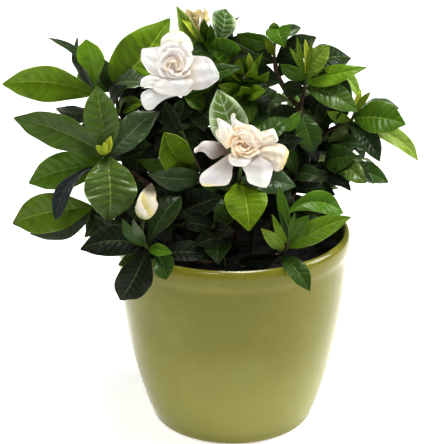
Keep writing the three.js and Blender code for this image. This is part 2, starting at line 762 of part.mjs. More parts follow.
const woodMeshes = Object.entries(WOOD).map(([name, branches]) => {
  const solids = branches.map(([radius, path]) => stemSolid(path.map(seen), radius));
  return meshOf(name, joined(solids), bark);
});
const shootMeshes = Object.entries(SHOOTS).map(
  ([name, shoot]) => meshOf(name, shootSolid(shoot), leafGreen),
);
const fillMeshes = FILL_SHOOTS.map((shoot) => meshOf(shoot[0], fillShootSolid(shoot), leafGreen));
const bloomMeshes = Object.entries(BLOOMS).map(
  ([name, bloom]) => meshOf(name, bloomSolid(bloom), petalWhite),
);
const budMesh = meshOf('bud', budSolid(), budCream);
const spentMesh = meshOf('spent-bloom', spentSolid(), spentTan);

const gardenia = groupOf(
  groupOf(potMesh, soilMesh),
  groupOf(...woodMeshes),
  groupOf(...shootMeshes, ...fillMeshes),
  groupOf(...bloomMeshes, budMesh, spentMesh),
);
gardenia.name = 'potted-gardenia';

export default gardenia;
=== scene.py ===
"""A potted gardenia: a young shrub with two open blooms, a bud and a spent bloom in a glazed pot.

Lengths are in millimetres in the tables and formulas, and become metres when a mesh is made. A place
(x, z, y) is where a point shows on the upright plane through the pot's axis, and its depth y.
"""

import logging
import math
import random
from collections.abc import Callable, Iterator, Sequence
from dataclasses import dataclass, field, replace
from enum import Enum
from typing import Union

import bpy
import numpy as np
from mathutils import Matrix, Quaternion, Vector, noise


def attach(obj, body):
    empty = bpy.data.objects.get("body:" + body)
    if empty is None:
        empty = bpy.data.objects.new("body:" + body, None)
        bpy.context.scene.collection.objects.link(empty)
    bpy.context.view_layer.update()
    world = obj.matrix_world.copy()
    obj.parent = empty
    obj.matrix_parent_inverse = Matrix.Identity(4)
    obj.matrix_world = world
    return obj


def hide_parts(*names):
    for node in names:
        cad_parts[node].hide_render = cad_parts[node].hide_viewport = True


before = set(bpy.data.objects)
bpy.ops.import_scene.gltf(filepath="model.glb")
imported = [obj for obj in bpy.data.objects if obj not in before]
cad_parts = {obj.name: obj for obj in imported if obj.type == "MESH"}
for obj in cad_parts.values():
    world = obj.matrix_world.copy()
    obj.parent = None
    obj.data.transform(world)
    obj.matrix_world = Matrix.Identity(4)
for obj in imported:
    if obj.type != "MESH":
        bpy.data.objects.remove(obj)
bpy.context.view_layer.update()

LOG = logging.getLogger("gardenia")
MM = 0.001
EYE = Vector((0, -1188, 629))
JOIN_GAP = 0.4

Place = Sequence[float]
Colour = tuple[float, float, float, float]
Feed = Union["Wire", float, tuple]


def seen(place: Place) -> Vector:
    """Finds the point on the sight line through a place.

    Args:
        place: Sideways and upward place on the plane through the pot's axis, and the depth.

    Returns:
        The point in millimetres.
    """
    x, z, y = place
    share = (y - EYE.y) / -EYE.y
    return Vector((x * share, y, EYE.z + (z - EYE.z) * share))


def paint(code: str) -> Colour:
    """Turns a screen colour such as #557a1a into the linear colour that a shader takes.

    Args:
        code: The colour with a leading hash.

    Returns:
        Red, green, blue and 1.
    """
    parts = [int(code[i:i + 2], 16) / 255 for i in (1, 3, 5)]
    linear = [part / 12.92 if part <= 0.04045 else ((part + 0.055) / 1.055) ** 2.4 for part in parts]
    return linear[0], linear[1], linear[2], 1.0


def ease(value: np.ndarray | float, low: float, high: float) -> np.ndarray:
    """Gives a smooth rise from 0 at low to 1 at high.

    Args:
        value: The values that rise.
        low: Where the rise starts.
        high: Where it ends.

    Returns:
        The risen values.
    """
    share = np.clip((np.asarray(value, float) - low) / (high - low), 0, 1)
    return share * share * (3 - 2 * share)


class Wire:
    """A node's output that takes part in expressions, each of which adds its Math nodes."""

    def __init__(self, recipe: "Recipe", socket: bpy.types.NodeSocket) -> None:
        """Keeps the recipe that the output belongs to."""
        self.recipe = recipe
        self.socket = socket

    def math(self, operation: str, *others: Feed, first: Feed | None = None) -> "Wire":
        """Adds one Math node.

        Args:
            operation: The node's operation.
            others: The values after this one.
            first: A value that goes before this one.

        Returns:
            The result.
        """
        values = ([self] if first is None else [first, self]) + list(others)
        made = self.recipe.node("Math", {"operation": operation}, dict(enumerate(values)))
        return self.recipe.wire(made)

    def __add__(self, other: Feed) -> "Wire":
        """Adds."""
        return self.math("ADD", other)

    __radd__ = __add__

    def __sub__(self, other: Feed) -> "Wire":
        """Subtracts."""
        return self.math("SUBTRACT", other)

    def __rsub__(self, other: Feed) -> "Wire":
        """Subtracts this from another value."""
        return self.math("SUBTRACT", first=other)

    def __mul__(self, other: Feed) -> "Wire":
        """Multiplies."""
        return self.math("MULTIPLY", other)

    __rmul__ = __mul__

    def __pow__(self, other: Feed) -> "Wire":
        """Raises to a power."""
        return self.math("POWER", other)

    def __abs__(self) -> "Wire":
        """Drops the sign."""
        return self.math("ABSOLUTE")

    def cosine(self) -> "Wire":
        """Takes the cosine of whole turns."""
        return (self * (2 * math.pi)).math("COSINE")

    def rise(self, low: float, high: float) -> "Wire":
        """Gives a smooth rise from 0 at low to 1 at high."""
        settings = {"interpolation_type": "SMOOTHSTEP"}
        values = {"Value": self, "From Min": low, "From Max": high, "To Min": 0.0, "To Max": 1.0}
        return self.recipe.wire(self.recipe.node("MapRange", settings, values))


class Recipe:
    """One material's nodes."""

    def __init__(self, name: str) -> None:
        """Starts an empty material.

        Args:
            name: The material's name.
        """
        self.material = bpy.data.materials.new(name)
        self.material.use_nodes = True
        self.tree = self.material.node_tree
        self.tree.nodes.clear()

    def node(self, kind: str, settings: dict | None = None, values: dict | None = None) -> bpy.types.Node:
        """Adds a node.

        Args:
            kind: The node's type without its leading words.
            settings: Its settings, and for a ramp its stops, which are set first.
            values: A value or a link for each socket, by name or number.

        Returns:
            The node.
        """
        made = self.tree.nodes.new("ShaderNode" + kind)
        for key, value in (settings or {}).items():
            if key == "stops":
                self._stops(made.color_ramp, value)
            else:
                setattr(made, key, value)
        for key, value in (values or {}).items():
            socket = made.inputs[key]
            if isinstance(value, Wire):
                self.tree.links.new(value.socket, socket)
            else:
                socket.default_value = value
        return made

    @staticmethod
    def _stops(ramp: bpy.types.ColorRamp, stops: list[tuple[float, Colour]]) -> None:
        """Sets a ramp's stops.

        Args:
            ramp: The ramp.
            stops: Places and colours.
        """
        while len(ramp.elements) < len(stops):
            ramp.elements.new(1.0)
        for element, (place, colour) in zip(ramp.elements, stops):
            element.position = place
            element.color = colour

    def wire(self, made: bpy.types.Node, output: int | str = 0) -> Wire:
        """Takes an output of a node."""
        return Wire(self, made.outputs[output])

    def attribute(self, name: str, output: str) -> Wire:
        """Reads an attribute of the mesh."""
        return self.wire(self.node("Attribute", {"attribute_name": name}), output)

    def place(self) -> Wire:
        """Reads the place on the piece."""
        return self.wire(self.node("TexCoord"), "Object")

    def axes(self, vector: Wire) -> tuple[Wire, Wire, Wire]:
        """Splits a vector into its three parts."""
        made = self.node("SeparateXYZ", None, {0: vector})
        return self.wire(made, 0), self.wire(made, 1), self.wire(made, 2)

    def vector(self, x: Feed, y: Feed, z: Feed) -> Wire:
        """Joins three numbers to a vector."""
        return self.wire(self.node("CombineXYZ", None, {0: x, 1: y, 2: z}))

    def stretched(self, vector: Wire, scale: tuple[float, float, float]) -> Wire:
        """Scales a vector by a number along each axis."""
        return self.wire(self.node("VectorMath", {"operation": "MULTIPLY"}, {0: vector, 1: scale}))

    def grain(self, vector: Wire, scale: float, detail: float = 4.0, roughness: float = 0.55) -> Wire:
        """Adds a noise.

        Args:
            vector: Where the noise is read.
            scale: Grains in a unit of length.
            detail: Octaves.
            roughness: Share of the fine octaves.

        Returns:
            The noise, about 0.5.
        """
        values = {"Vector": vector, "Scale": scale, "Detail": detail, "Roughness": roughness}
        return self.wire(self.node("TexNoise", None, values))

    def cells(self, vector: Wire, scale: float) -> Wire:
        """Adds a net of cells, which is 0 along the cells' edges."""
        made = self.node("TexVoronoi", {"feature": "DISTANCE_TO_EDGE"}, {"Vector": vector, "Scale": scale})
        return self.wire(made, "Distance")

    def mix(self, first: Feed, second: Feed, share: Feed, blend: str = "MIX") -> Wire:
        """Mixes two colours.

        Args:
            first: The colour at share 0.
            second: The colour at share 1.
            share: How much of the second.
            blend: How they mix.

        Returns:
            The mixed colour.
        """
        settings = {"data_type": "RGBA", "blend_type": blend, "clamp_factor": True}
        return self.wire(self.node("Mix", settings, {0: share, 6: first, 7: second}), 2)

    def ramp(self, share: Wire, stops: list[tuple[float, Colour]]) -> Wire:
        """Turns a number into a colour by stops."""
        return self.wire(self.node("ValToRGB", {"stops": stops}, {0: share}))

    def bump(self, height: Wire, distance: float, strength: float = 1.0) -> Wire:
        """Turns a height from 0 to 1 into a normal, with the height's real size in millimetres."""
        values = {"Height": height, "Distance": distance * MM, "Strength": strength}
        return self.wire(self.node("Bump", None, values))

    def finish(self, values: dict) -> bpy.types.Material:
        """Ends the material with its surface shader.

        Args:
            values: The shader's sockets.

        Returns:
            The material.
        """
        shader = self.node("BsdfPrincipled", None, values)
        output = self.node("OutputMaterial")
        self.tree.links.new(shader.outputs[0], output.inputs["Surface"])
        return self.material


@dataclass(frozen=True)
class GlazeFinish:
    """Olive-green glaze over clay, glossy and a little mottled, painted paler towards the foot as a
    reflection of the white floor.
    """

    body: str = "#757228"
    thin: str = "#818037"
    pooled: str = "#5c5914"
    # pale: a painted reflection of the white floor, strongest at the foot
    pale: str = "#94924e"
    clay: str = "#897255"
    foot_height: float = 0.5
    painted_reflection_height: tuple[float, float] = (10, 105)

    def material(self) -> bpy.types.Material:
        """Makes the material."""
        r = Recipe("olive glaze")
        place = r.place()
        height = r.axes(place)[2]
        cloud = r.grain(place, 22, 3)
        speck = r.grain(place, 520, 2)
        colour = r.mix(paint(self.body), paint(self.thin), cloud.rise(0.42, 0.72) * 0.6)
        colour = r.mix(colour, paint(self.pooled), (1 - speck.rise(0.30, 0.42)) * 0.35)
        low, high = self.painted_reflection_height
        # Paler towards the foot: painted reflection of the white floor.
        colour = r.mix(colour, paint(self.pale), (1 - height.rise(low * MM, high * MM)) * 0.6)
        bare = 1 - height.rise(self.foot_height * MM, 2 * self.foot_height * MM)
        colour = r.mix(colour, paint(self.clay), bare)
        ripple = r.grain(place, 45, 2) * 0.7 + r.grain(place, 260, 2) * 0.3
        return r.finish({
            "Base Color": colour,
            "Roughness": 0.16 + cloud * 0.08 + bare * 0.5,
            "Normal": r.bump(ripple, 0.25, 0.5),
            "Specular IOR Level": 0.22,
            "Coat Weight": 0.14 - bare * 0.14,
            "Coat Roughness": 0.07,
        })


@dataclass(frozen=True)
class SoilFinish:
    """Moist dark potting soil."""

    dark: str = "#0d0a08"
    crumb: str = "#2a2119"

    def material(self) -> bpy.types.Material:
        """Makes the material."""
        r = Recipe("potting soil")
        place = r.place()
        lump = r.grain(place, 160, 6, 0.7)
        fibre = r.grain(r.stretched(place, (1.0, 0.3, 1.0)), 900, 3)
        colour = r.mix(paint(self.dark), paint(self.crumb), lump.rise(0.48, 0.74))
        return r.finish({
            "Base Color": r.mix(colour, paint("#3d3226"), fibre.rise(0.66, 0.76) * 0.5),
            "Roughness": 0.95 - lump * 0.2,
            "Normal": r.bump(lump * 0.7 + fibre * 0.3, 1.2),
        })


@dataclass(frozen=True)
class TwigFinish:
    """Bits of dry grey wood in the soil."""

    def material(self) -> bpy.types.Material:
        """Makes the material."""
        r = Recipe("dry twig")
        streak = r.grain(r.stretched(r.place(), (0.3, 1.0, 1.0)), 1500, 3)
        return r.finish({
            "Base Color": r.mix(paint("#5b5550"), paint("#8f8a84"), streak.rise(0.35, 0.7)),
            "Roughness": 0.8 + streak * 0.15,
            "Normal": r.bump(streak, 0.2),
        })


@dataclass(frozen=True)
class BarkFinish:
    """Brown bark with fissures along the stem and pale lenticels."""

    ridge: str = "#6a543c"
    fissure: str = "#2c2118"
    lenticel: str = "#a08c6c"

    def material(self) -> bpy.types.Material:
        """Makes the material."""
        r = Recipe("bark")
        place = r.place()
        streak = r.grain(r.stretched(place, (1.0, 1.0, 0.16)), 900, 5, 0.65)
        patch = r.grain(place, 120, 3)
        spot = r.cells(r.stretched(place, (1.0, 1.0, 0.5)), 420)
        colour = r.mix(paint(self.fissure), paint(self.ridge), streak.rise(0.38, 0.62))
        colour = r.mix(colour, paint("#4c4a2c"), patch.rise(0.5, 0.7) * 0.4)
        return r.finish({
            "Base Color": r.mix(colour, paint(self.lenticel), spot.rise(0.42, 0.55) * 0.5),
            "Roughness": 0.86 - patch * 0.15,
            "Normal": r.bump(streak * 0.8 + spot * 0.2, 0.7),
        })


@dataclass(frozen=True)
class GreenStemFinish:
    """The green skin of a young stem, browner in patches."""

    def material(self) -> bpy.types.Material:
        """Makes the material."""
        r = Recipe("green stem")
        place = r.place()
        patch = r.grain(place, 90, 3)
        streak = r.grain(r.stretched(place, (1.0, 1.0, 0.2)), 1100, 3)
        colour = r.mix(paint("#374c12"), paint("#4a3e24"), patch.rise(0.42, 0.66))
        return r.finish({
            "Base Color": r.mix(colour, paint("#64723a"), streak.rise(0.55, 0.75) * 0.35),
            "Roughness": 0.5 + patch * 0.2,
            "Normal": r.bump(streak, 0.25),
        })


class LeafTone(Enum):
    """The colours of leaves, from the newest growth to the oldest. The bright yellow-greens are partly young
    growth and partly painted light, the glow of leaves that light shines through. The grey-green is partly a
    leaf's own green and partly painted sheen, and the blue-grey near-black is a dark leaf blued by painted
    reflection. The dark green is partly old leaves' own colour and partly painted shade, and the near-black
    green is painted shade, for the leaves deep in the crown.
    """

    TENDER = "#b6c43e"
    PALE = "#86a350"
    # Partly painted light: the glow of a leaf that light shines through.
    LIME = "#668003"
    MINT = "#759030"
    GRASS = "#53700a"
    # Partly painted light: the glow of a leaf that light shines through.
    FRESH = "#678a0a"
    MID = "#446603"
    SAGE = "#48611e"
    OLIVE = "#425106"
    # Partly greyed by a painted sheen.
    GREY = "#3d522f"
    DEEP = "#2b4805"
    # Partly painted shade, for leaves deep in the crown.
    DARK = "#1a2f05"
    # Blued by a painted reflection on a dark glossy leaf.
    SLATE_SHEEN = "#222a2f"
    # Painted shade: near-black, for leaves deep in the crown.
    INK = "#0b1604"


class LeafSide(Enum):
    """The two sides of a leaf."""

    UPPER = "leaf upper side"
    UNDER = "leaf underside"


@dataclass(frozen=True)
class LeafFinish:
    """Glossy leaf skin with sunk veins above, and paler matt skin with raised veins below.

    A tint that is bright green but not yellow is a young leaf's, which is pale along its veins and its edge,
    partly its own colour and partly a painted sheen.
    """

    side: LeafSide
    veins: float = 9.0
    sweep: float = 1.3

    def material(self) -> bpy.types.Material:
        """Makes the material."""
        upper = self.side is LeafSide.UPPER
        r = Recipe(self.side.value)
        blade = r.wire(r.node("UVMap", {"uv_map": "UVMap"}))
        x, along, _ = r.axes(blade)
        across = abs(x * 2 - 1)
        tint = r.attribute("Tint", "Color")
        draw = r.attribute("Draw", "Fac")
        local = r.vector(x + draw * 7, along * 2.4 + draw * 3, 0.0)
        cloud = r.grain(local, 3.2, 3)
        wander = r.grain(local, 9, 2)
        rib = along * self.veins - across * self.sweep + (wander - 0.5) * 0.35
        red, green, _ = r.axes(tint)
        pale = green.rise(0.31, 0.33) * (1 - red.rise(0.3, 0.33))
        lateral = rib.cosine().rise(0.86 - pale * 0.28, 1.0)
        lateral = lateral * across.rise(0.0, 0.06) * (1 - across.rise(0.82, 0.98))
        middle = 1 - across.rise(0.015, 0.06 if upper else 0.09)
        net = 1 - r.cells(r.stretched(local, (1.0, 1.3, 1.0)), 26).rise(0.0, 0.09)
        margin = across.rise(0.93, 1.0)
        deep = r.mix(tint, (0.42, 0.50, 0.34, 1.0), 1.0, "MULTIPLY")
        light = r.mix(tint, (2.6, 2.1, 2.4, 1.0), 1.0, "MULTIPLY")
        light = r.mix(light, paint("#c3d68a"), 0.2 if upper else 0.5)
        # Near-white on young leaves' veins and edge: partly painted sheen.
        light = r.mix(light, paint("#cfdcc4"), pale * 0.85)
        base = tint if upper else r.mix(r.mix(tint, paint("#7f9a66"), 0.55), (0, 0, 0, 1), 0.1)
        colour = r.mix(base, deep, cloud.rise(0.5, 0.78) * (0.75 if upper else 0.3))
        colour = r.mix(colour, deep, pale * 0.95)
        colour = r.mix(colour, light, net * (0.10 if upper else 0.16))
        colour = r.mix(colour, light, lateral * (0.24 + pale * 0.22 if upper else 0.4))
        colour = r.mix(colour, light, pale * across.rise(0.52, 1.0) * 0.75)
        colour = r.mix(colour, light, middle * (0.65 if upper else 0.8))
        colour = r.mix(colour, light, margin * 0.4)
        height = lateral * (-0.5 if upper else 0.6) + middle * (-0.3 if upper else 1.0)
        height = height + net * (-0.14 if upper else 0.2) + wander * 0.25
        return r.finish({
            "Base Color": colour,
            "Roughness": 0.36 + cloud * 0.2 + middle * 0.1,
            "Normal": r.bump(height, 0.7, 0.9),
            "Specular IOR Level": 0.14,
            "Coat Weight": r.attribute("Sheen", "Fac") * (0.5 if upper else 0.1),
            "Coat Roughness": 0.26,
        })


class PetalTone(Enum):
    """The colours of petals, from fresh to spent. The shade, grey, mauve and dusky tones are painted shade
    for petals and petal feet that lie in shadow under the heart, and the heart's brown is partly its own warm
    colour and partly painted shade in its gaps.
    """

    WHITE = "#f0ebe3"
    CREAM = "#ebdfc8"
    PEACH = "#ecd0a6"
    # Partly painted shade in the gaps of the heart.
    HEART = "#d3a877"
    SAND = "#d6c5b0"
    YELLOW = "#e3d086"
    SHADE = "#d9d3cf"
    # Painted shade for petals in shadow under the heart.
    GREY = "#bab1ae"
    # Painted shade at the foot of a petal in shadow under the heart.
    MAUVE_SHADE = "#978a86"
    # Painted shade at the foot of a petal in shadow under the heart.
    DUSK_SHADE = "#5c4f45"
    TAN = "#b3a274"


@dataclass(frozen=True)
class PetalFinish:
    """Soft matt petal with fine lengthwise veins, and a faint painted glow that stands in for the light
    through the thin petal.
    """

    name: str
    wrinkle: float
    gloss: float
    painted_glow: float = 0.0

    def material(self) -> bpy.types.Material:
        """Makes the material."""
        r = Recipe(self.name)
        blade = r.wire(r.node("UVMap", {"uv_map": "UVMap"}))
        x, along, _ = r.axes(blade)
        tint = r.attribute("Tint", "Color")
        draw = r.attribute("Draw", "Fac")
        local = r.vector(x * 3 + draw * 9, along + draw * 4, 0.0)
        streak = r.grain(r.stretched(local, (4.0, 1.0, 1.0)), 5, 3)
        cloud = r.grain(local, 2.2, 3)
        rim = abs(x * 2 - 1).rise(0.86, 1.0) + along.rise(0.93, 1.0)
        shade = r.mix(tint, (0.86, 0.80, 0.70, 1.0), 1.0, "MULTIPLY")
        colour = r.mix(tint, shade, streak.rise(0.5, 0.75) * 0.35 + (1 - along.rise(0.0, 0.4)) * 0.35)
        colour = r.mix(colour, shade, cloud.rise(0.52, 0.8) * 0.5)
        colour = r.mix(colour, paint("#d8b77a"), rim * draw.rise(0.6, 0.9) * 0.25)
        return r.finish({
            "Base Color": colour,
            "Roughness": self.gloss + cloud * 0.15,
            "Normal": r.bump(streak * 0.7 + cloud * 0.3, self.wrinkle),
            "Subsurface Weight": 0.5,
            "Subsurface Radius": (1.0, 0.85, 0.7),
            "Subsurface Scale": 0.003,
            # A painted glow: the petal gives off light, in place of light shining through it.
            "Emission Color": colour,
            "Emission Strength": self.painted_glow,
            "Specular IOR Level": 0.3,
        })


@dataclass(frozen=True)
class BudFinish:
    """Cream bud with green at its foot and a dry brown tip."""

    def material(self) -> bpy.types.Material:
        """Makes the material."""
        r = Recipe("bud")
        place = r.place()
        share = r.attribute("Share", "Fac")
        fold = r.attribute("Fold", "Fac")
        streak = r.grain(r.stretched(place, (1.0, 1.0, 0.25)), 700, 3)
        stops = [
            (0.0, paint("#5f7330")), (0.1, paint("#b9b68c")), (0.28, paint("#dcd4c6")),
            (0.68, paint("#d9d2bd")), (0.77, paint("#a39a80")), (0.84, paint("#5d523e")),
            (1.0, paint("#453a2c")),
        ]
        colour = r.ramp(share + (streak - 0.5) * 0.12, stops)
        yellow = (1 - fold.rise(0.1, 0.7)) * share.rise(0.06, 0.2) * (1 - share.rise(0.66, 0.78))
        colour = r.mix(colour, paint("#cbbc60"), yellow * 0.8)
        return r.finish({
            "Base Color": colour,
            "Roughness": 0.5 + streak * 0.15,
            "Normal": r.bump(streak, 0.3),
        })


@dataclass(frozen=True)
class FloorFinish:
    """Plain white paper."""

    def material(self) -> bpy.types.Material:
        """Makes the material."""
        r = Recipe("white paper")
        grain = r.grain(r.place(), 60, 2)
        return r.finish({
            "Base Color": r.mix((0.90, 0.90, 0.90, 1.0), (0.93, 0.93, 0.93, 1.0), grain),
            "Roughness": 0.9 + grain * 0.05,
            "Emission Color": (1.0, 1.0, 1.0, 1.0),
            "Emission Strength": 0.6,
        })


class Bench:
    """The steps that every piece shares."""

    @staticmethod
    def clear() -> None:
        """Deselects everything."""
        bpy.ops.object.select_all(action="DESELECT")

    @staticmethod
    def take(*pieces: bpy.types.Object) -> bpy.types.Object:
        """Selects only these pieces and works on the first.

        Args:
            pieces: The pieces.

        Returns:
            The first of them.
        """
        Bench.clear()
        for piece in pieces:
            piece.select_set(True)
        bpy.context.view_layer.objects.active = pieces[0]
        return pieces[0]

    @staticmethod
    def join(name: str, pieces: Sequence[bpy.types.Object]) -> bpy.types.Object:
        """Joins pieces to one.

        Args:
            name: The joined piece's name.
            pieces: The pieces, of which the first gives the order of the materials.

        Returns:
            The joined piece.
        """
        whole = Bench.take(*pieces)
        if len(pieces) > 1:
            bpy.ops.object.join()
        whole.name = name
        whole.data.name = name
        return whole

    @staticmethod
    def weld(piece: bpy.types.Object) -> None:
        """Merges the corners that lie on each other."""
        Bench.take(piece)
        bpy.ops.object.mode_set(mode="EDIT")
        bpy.ops.mesh.select_all(action="SELECT")
        bpy.ops.mesh.remove_doubles(threshold=0.01 * MM)
        bpy.ops.object.mode_set(mode="OBJECT")

    @staticmethod
    def thicken(piece: bpy.types.Object, thickness: float, under: int) -> None:
        """Gives a sheet its thickness on its back.

        Args:
            piece: The sheet.
            thickness: Its thickness in millimetres.
            under: How far on in the list of materials its back's material is.
        """
        Bench.take(piece)
        wall = piece.modifiers.new("thickness", "SOLIDIFY")
        wall.thickness = thickness * MM
        wall.offset = -1
        wall.material_offset = under
        bpy.ops.object.modifier_apply(modifier=wall.name)

    @staticmethod
    def smooth(piece: bpy.types.Object, degrees: float = 50) -> None:
        """Shades a piece smooth except across its edges."""
        Bench.take(piece)
        bpy.ops.object.shade_smooth_by_angle(angle=math.radians(degrees))

    @staticmethod
    def hand_over(piece: bpy.types.Object, slot: str, *nodes: str) -> None:
        """Says what a finished piece rides on and hides the solids that it stands for.

        Args:
            piece: The piece.
            slot: The record's material slot; not used.
            nodes: The solids that it stands for.
        """
        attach(piece, "root")
        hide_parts(*nodes)
        LOG.info("%s: %d faces", piece.name, len(piece.data.polygons))


class Path:
    """A smooth curve through points, by shares of its number of points."""

    def __init__(self, points: Sequence[Vector]) -> None:
        """Keeps the points."""
        self.points = list(points)

    def at(self, share: float) -> Vector:
        """Finds a point of the curve.

        Args:
            share: How far along, from 0 to 1.

        Returns:
            The point.
        """
        spans = len(self.points) - 1
        place = min(max(share, 0.0), 1.0) * spans
        i = min(int(place), spans - 1)
        t = place - i
        start, end = self.points[i], self.points[i + 1]
        before = self.points[i - 1] if i > 0 else 2 * start - end
        after = self.points[i + 2] if i + 2 <= spans else 2 * end - start
        leave, arrive = 0.5 * (end - before), 0.5 * (after - start)
        bend = 3 * (end - start) - 2 * leave - arrive
        turn = 2 * (start - end) + leave + arrive
        return start + leave * t + bend * t * t + turn * t ** 3

    def way(self, share: float) -> Vector:
        """Finds the direction of the curve at a share of it."""
        near = 0.0001
        return (self.at(min(1.0, share + near)) - self.at(max(0.0, share - near))).normalized()

    def on_stem(self, share: float) -> Vector:
        """Finds a point a little short of the ends, where a leaf is rooted."""
        margin = 0.06
        return self.at(margin + (1 - 2 * margin) * share)


@dataclass
class Tube:
    """A round stem along a path, which tapers and swells where leaves grow."""

    path: Path
    radius: float
    taper: float = 0.75
    swell: float = 0.14
    knots: int = 3
    step: float = 2.0

    def build(self, name: str, material: bpy.types.Material) -> bpy.types.Object:
        """Makes the stem.

        Args:
            name: Its name.
            material: Its material.

        Returns:
            The stem as a mesh.
        """
        length = sum((b - a).length for a, b in zip(self.path.points, self.path.points[1:]))
        count = max(8, round(length / self.step))
        curve = bpy.data.curves.new(name, "CURVE")
        curve.dimensions = "3D"
        curve.bevel_depth = self.radius * MM
        curve.bevel_resolution = 2
        curve.use_fill_caps = True
        spline = curve.splines.new("POLY")
        spline.points.add(count)
        for i, point in enumerate(spline.points):
            share = i / count
            knot = max(0.0, math.cos(2 * math.pi * self.knots * share)) ** 6
            point.co = (*(self.path.at(share) * MM), 1.0)
            point.radius = (1 - (1 - self.taper) * share) * (1 + self.swell * knot)
        stem = bpy.data.objects.new(name, curve)
        bpy.context.scene.collection.objects.link(stem)
        curve.materials.append(material)
        Bench.take(stem)
        bpy.ops.object.convert(target="MESH")
        return bpy.context.view_layer.objects.active


@dataclass
class Habit:
    """How one leaf or petal bends away from its plain form."""

    fold: float = 0.22
    quilt: float = 0.09
    wave: float = 0.10
    waves: float = 2.2
    phase: float = 0.0
    twist: float = 0.0
    sway: float = 0.0
    droop: float = 0.0
    curl: float = 0.06
    roll: float = 0.0
    blunt: float = 0.0


@dataclass
class Blade:
    """A leaf or petal from its root to its tip, which faces a direction and bows towards it."""

    root: Vector
    tip: Vector
    width: float
    facing: Vector
    turn: float = 0.0
    arch: float = 0.0
    habit: Habit = field(default_factory=Habit)
    tint: Colour = (1.0, 1.0, 1.0, 1.0)
    draw: float = 0.5
    sheen: float = 0.8

    def shape(
        self,
        u: np.ndarray,
        v: np.ndarray,
        half: Callable[[np.ndarray], np.ndarray],
        veins: tuple[float, float] = (0.0, 0.0),
        stalk: float = 0.0,
    ) -> np.ndarray:
        """Bends a flat grid to the blade.

        Args:
            u: Each corner's share of the length.
            v: Its share of the half width, from -1 to 1.
            half: The outline's half width for a share of the length.
            veins: The number of side veins and how far they sweep forward.
            stalk: Half the stalk's width.

        Returns:
            The corners in millimetres.
        """
        habit = self.habit
        line = np.array(self.tip - self.root)
        length = np.linalg.norm(line)
        along = line / length
        flat = np.cross(along, np.array(self.facing))
        flat /= np.linalg.norm(flat)
        face = np.cross(flat, along)
        angle = np.radians(self.turn + habit.twist * (u - 0.5))[:, None]
        side = flat * np.cos(angle) + face * np.sin(angle)
        up = face * np.cos(angle) - flat * np.sin(angle)
        reach = self.width / 2 * half(np.clip(u, 0, 1) ** (1 + habit.blunt))
        reach = np.maximum(reach, stalk * (1 - ease(u, 0.15, 0.3)))
        edge = np.abs(v)
        ends = ease(u, 0.03, 0.2) * (1 - ease(u, 0.86, 1.0))
        rise = habit.fold * (np.sqrt(v * v + 0.012) - 0.11) - habit.curl * edge ** 4
        ripple = np.sin(2 * np.pi * (habit.waves * u + habit.phase + 0.3 * np.sign(v)))
        rise = rise + habit.wave * ripple * edge ** 3 * ends
        rise = rise - habit.roll * edge ** 3 * ease(u, 0.25, 0.7)
        if veins[0]:
            between = np.abs(np.sin(np.pi * (u * veins[0] - edge * veins[1]))) ** 0.8
            rise = rise + habit.quilt * between * np.minimum(1, edge * 5) * (1 - edge ** 4) * ends
        bow = self.arch * 4 * u * (1 - u) - habit.droop * length * ease(u, 0.7, 1.0) ** 2
        sway = habit.sway * length * 4 * u * (1 - u)
        spine = np.array(self.root) + line * u[:, None]
        return spine + side * (v * reach + sway)[:, None] + up * (bow + rise * reach)[:, None]


def leaf_half(u: np.ndarray) -> np.ndarray:
    """Gives the half width of a leaf for shares of its length."""
    along = np.clip(u, 0, 1)
    return np.sin(np.pi * along ** 1.15).clip(0) ** 0.74 * (1 - 0.3 * ease(along, 0.8, 1.0))


def petal_half(u: np.ndarray) -> np.ndarray:
    """Gives the half width of a broad petal for shares of its length."""
    along = np.clip(u, 0, 1)
    return np.sin(np.pi * along ** 1.5).clip(0) ** 0.6 * np.minimum(1, 0.5 + 1.2 * along)


class Blank:
    """A flat grid, modelled once, that leaves or petals are bent from."""

    def __init__(self, name: str, across: int, along: int) -> None:
        """Adds the grid.

        Args:
            name: Its name.
            across: Its faces across.
            along: Its faces along.
        """
        Bench.clear()
        bpy.ops.mesh.primitive_grid_add(x_subdivisions=across, y_subdivisions=along, size=2, calc_uvs=True)
        self.grid = bpy.context.view_layer.objects.active
        self.grid.name = name
        mesh = self.grid.data
        mesh.uv_layers[0].name = "UVMap"
        mesh.attributes.new("Tint", "FLOAT_COLOR", "POINT")
        mesh.attributes.new("Draw", "FLOAT", "POINT")
        mesh.attributes.new("Sheen", "FLOAT", "POINT")
        flat = np.zeros(len(mesh.vertices) * 3)
        mesh.vertices.foreach_get("co", flat)
        flat = flat.reshape(-1, 3)
        self.v = flat[:, 0].round(6)
        self.u = ((flat[:, 1] + 1) / 2).round(6)

    def cut(
        self, name: str, points: np.ndarray, tints: np.ndarray, draw: float, sheen: float = 0.0
    ) -> bpy.types.Object:
        """Makes one blade from the grid.

        Args:
            name: The blade's name.
            points: Its corners in millimetres.
            tints: A colour for each corner.
            draw: A number between 0 and 1 that sets its pattern apart.
            sheen: How glossy it is.

        Returns:
            The blade.
        """
        mesh = self.grid.data.copy()
        mesh.vertices.foreach_set("co", (points * MM).ravel())
        mesh.attributes["Tint"].data.foreach_set("color", tints.ravel())
        mesh.attributes["Draw"].data.foreach_set("value", np.full(len(points), draw))
        mesh.attributes["Sheen"].data.foreach_set("value", np.full(len(points), sheen))
        blade = bpy.data.objects.new(name, mesh)
        bpy.context.scene.collection.objects.link(blade)
        return blade

    def plain(self, tint: Colour) -> np.ndarray:
        """Gives every corner the same colour."""
        return np.tile(np.array(tint), (len(self.u), 1))

    def drop(self) -> None:
        """Removes the flat grid."""
        bpy.data.objects.remove(self.grid)


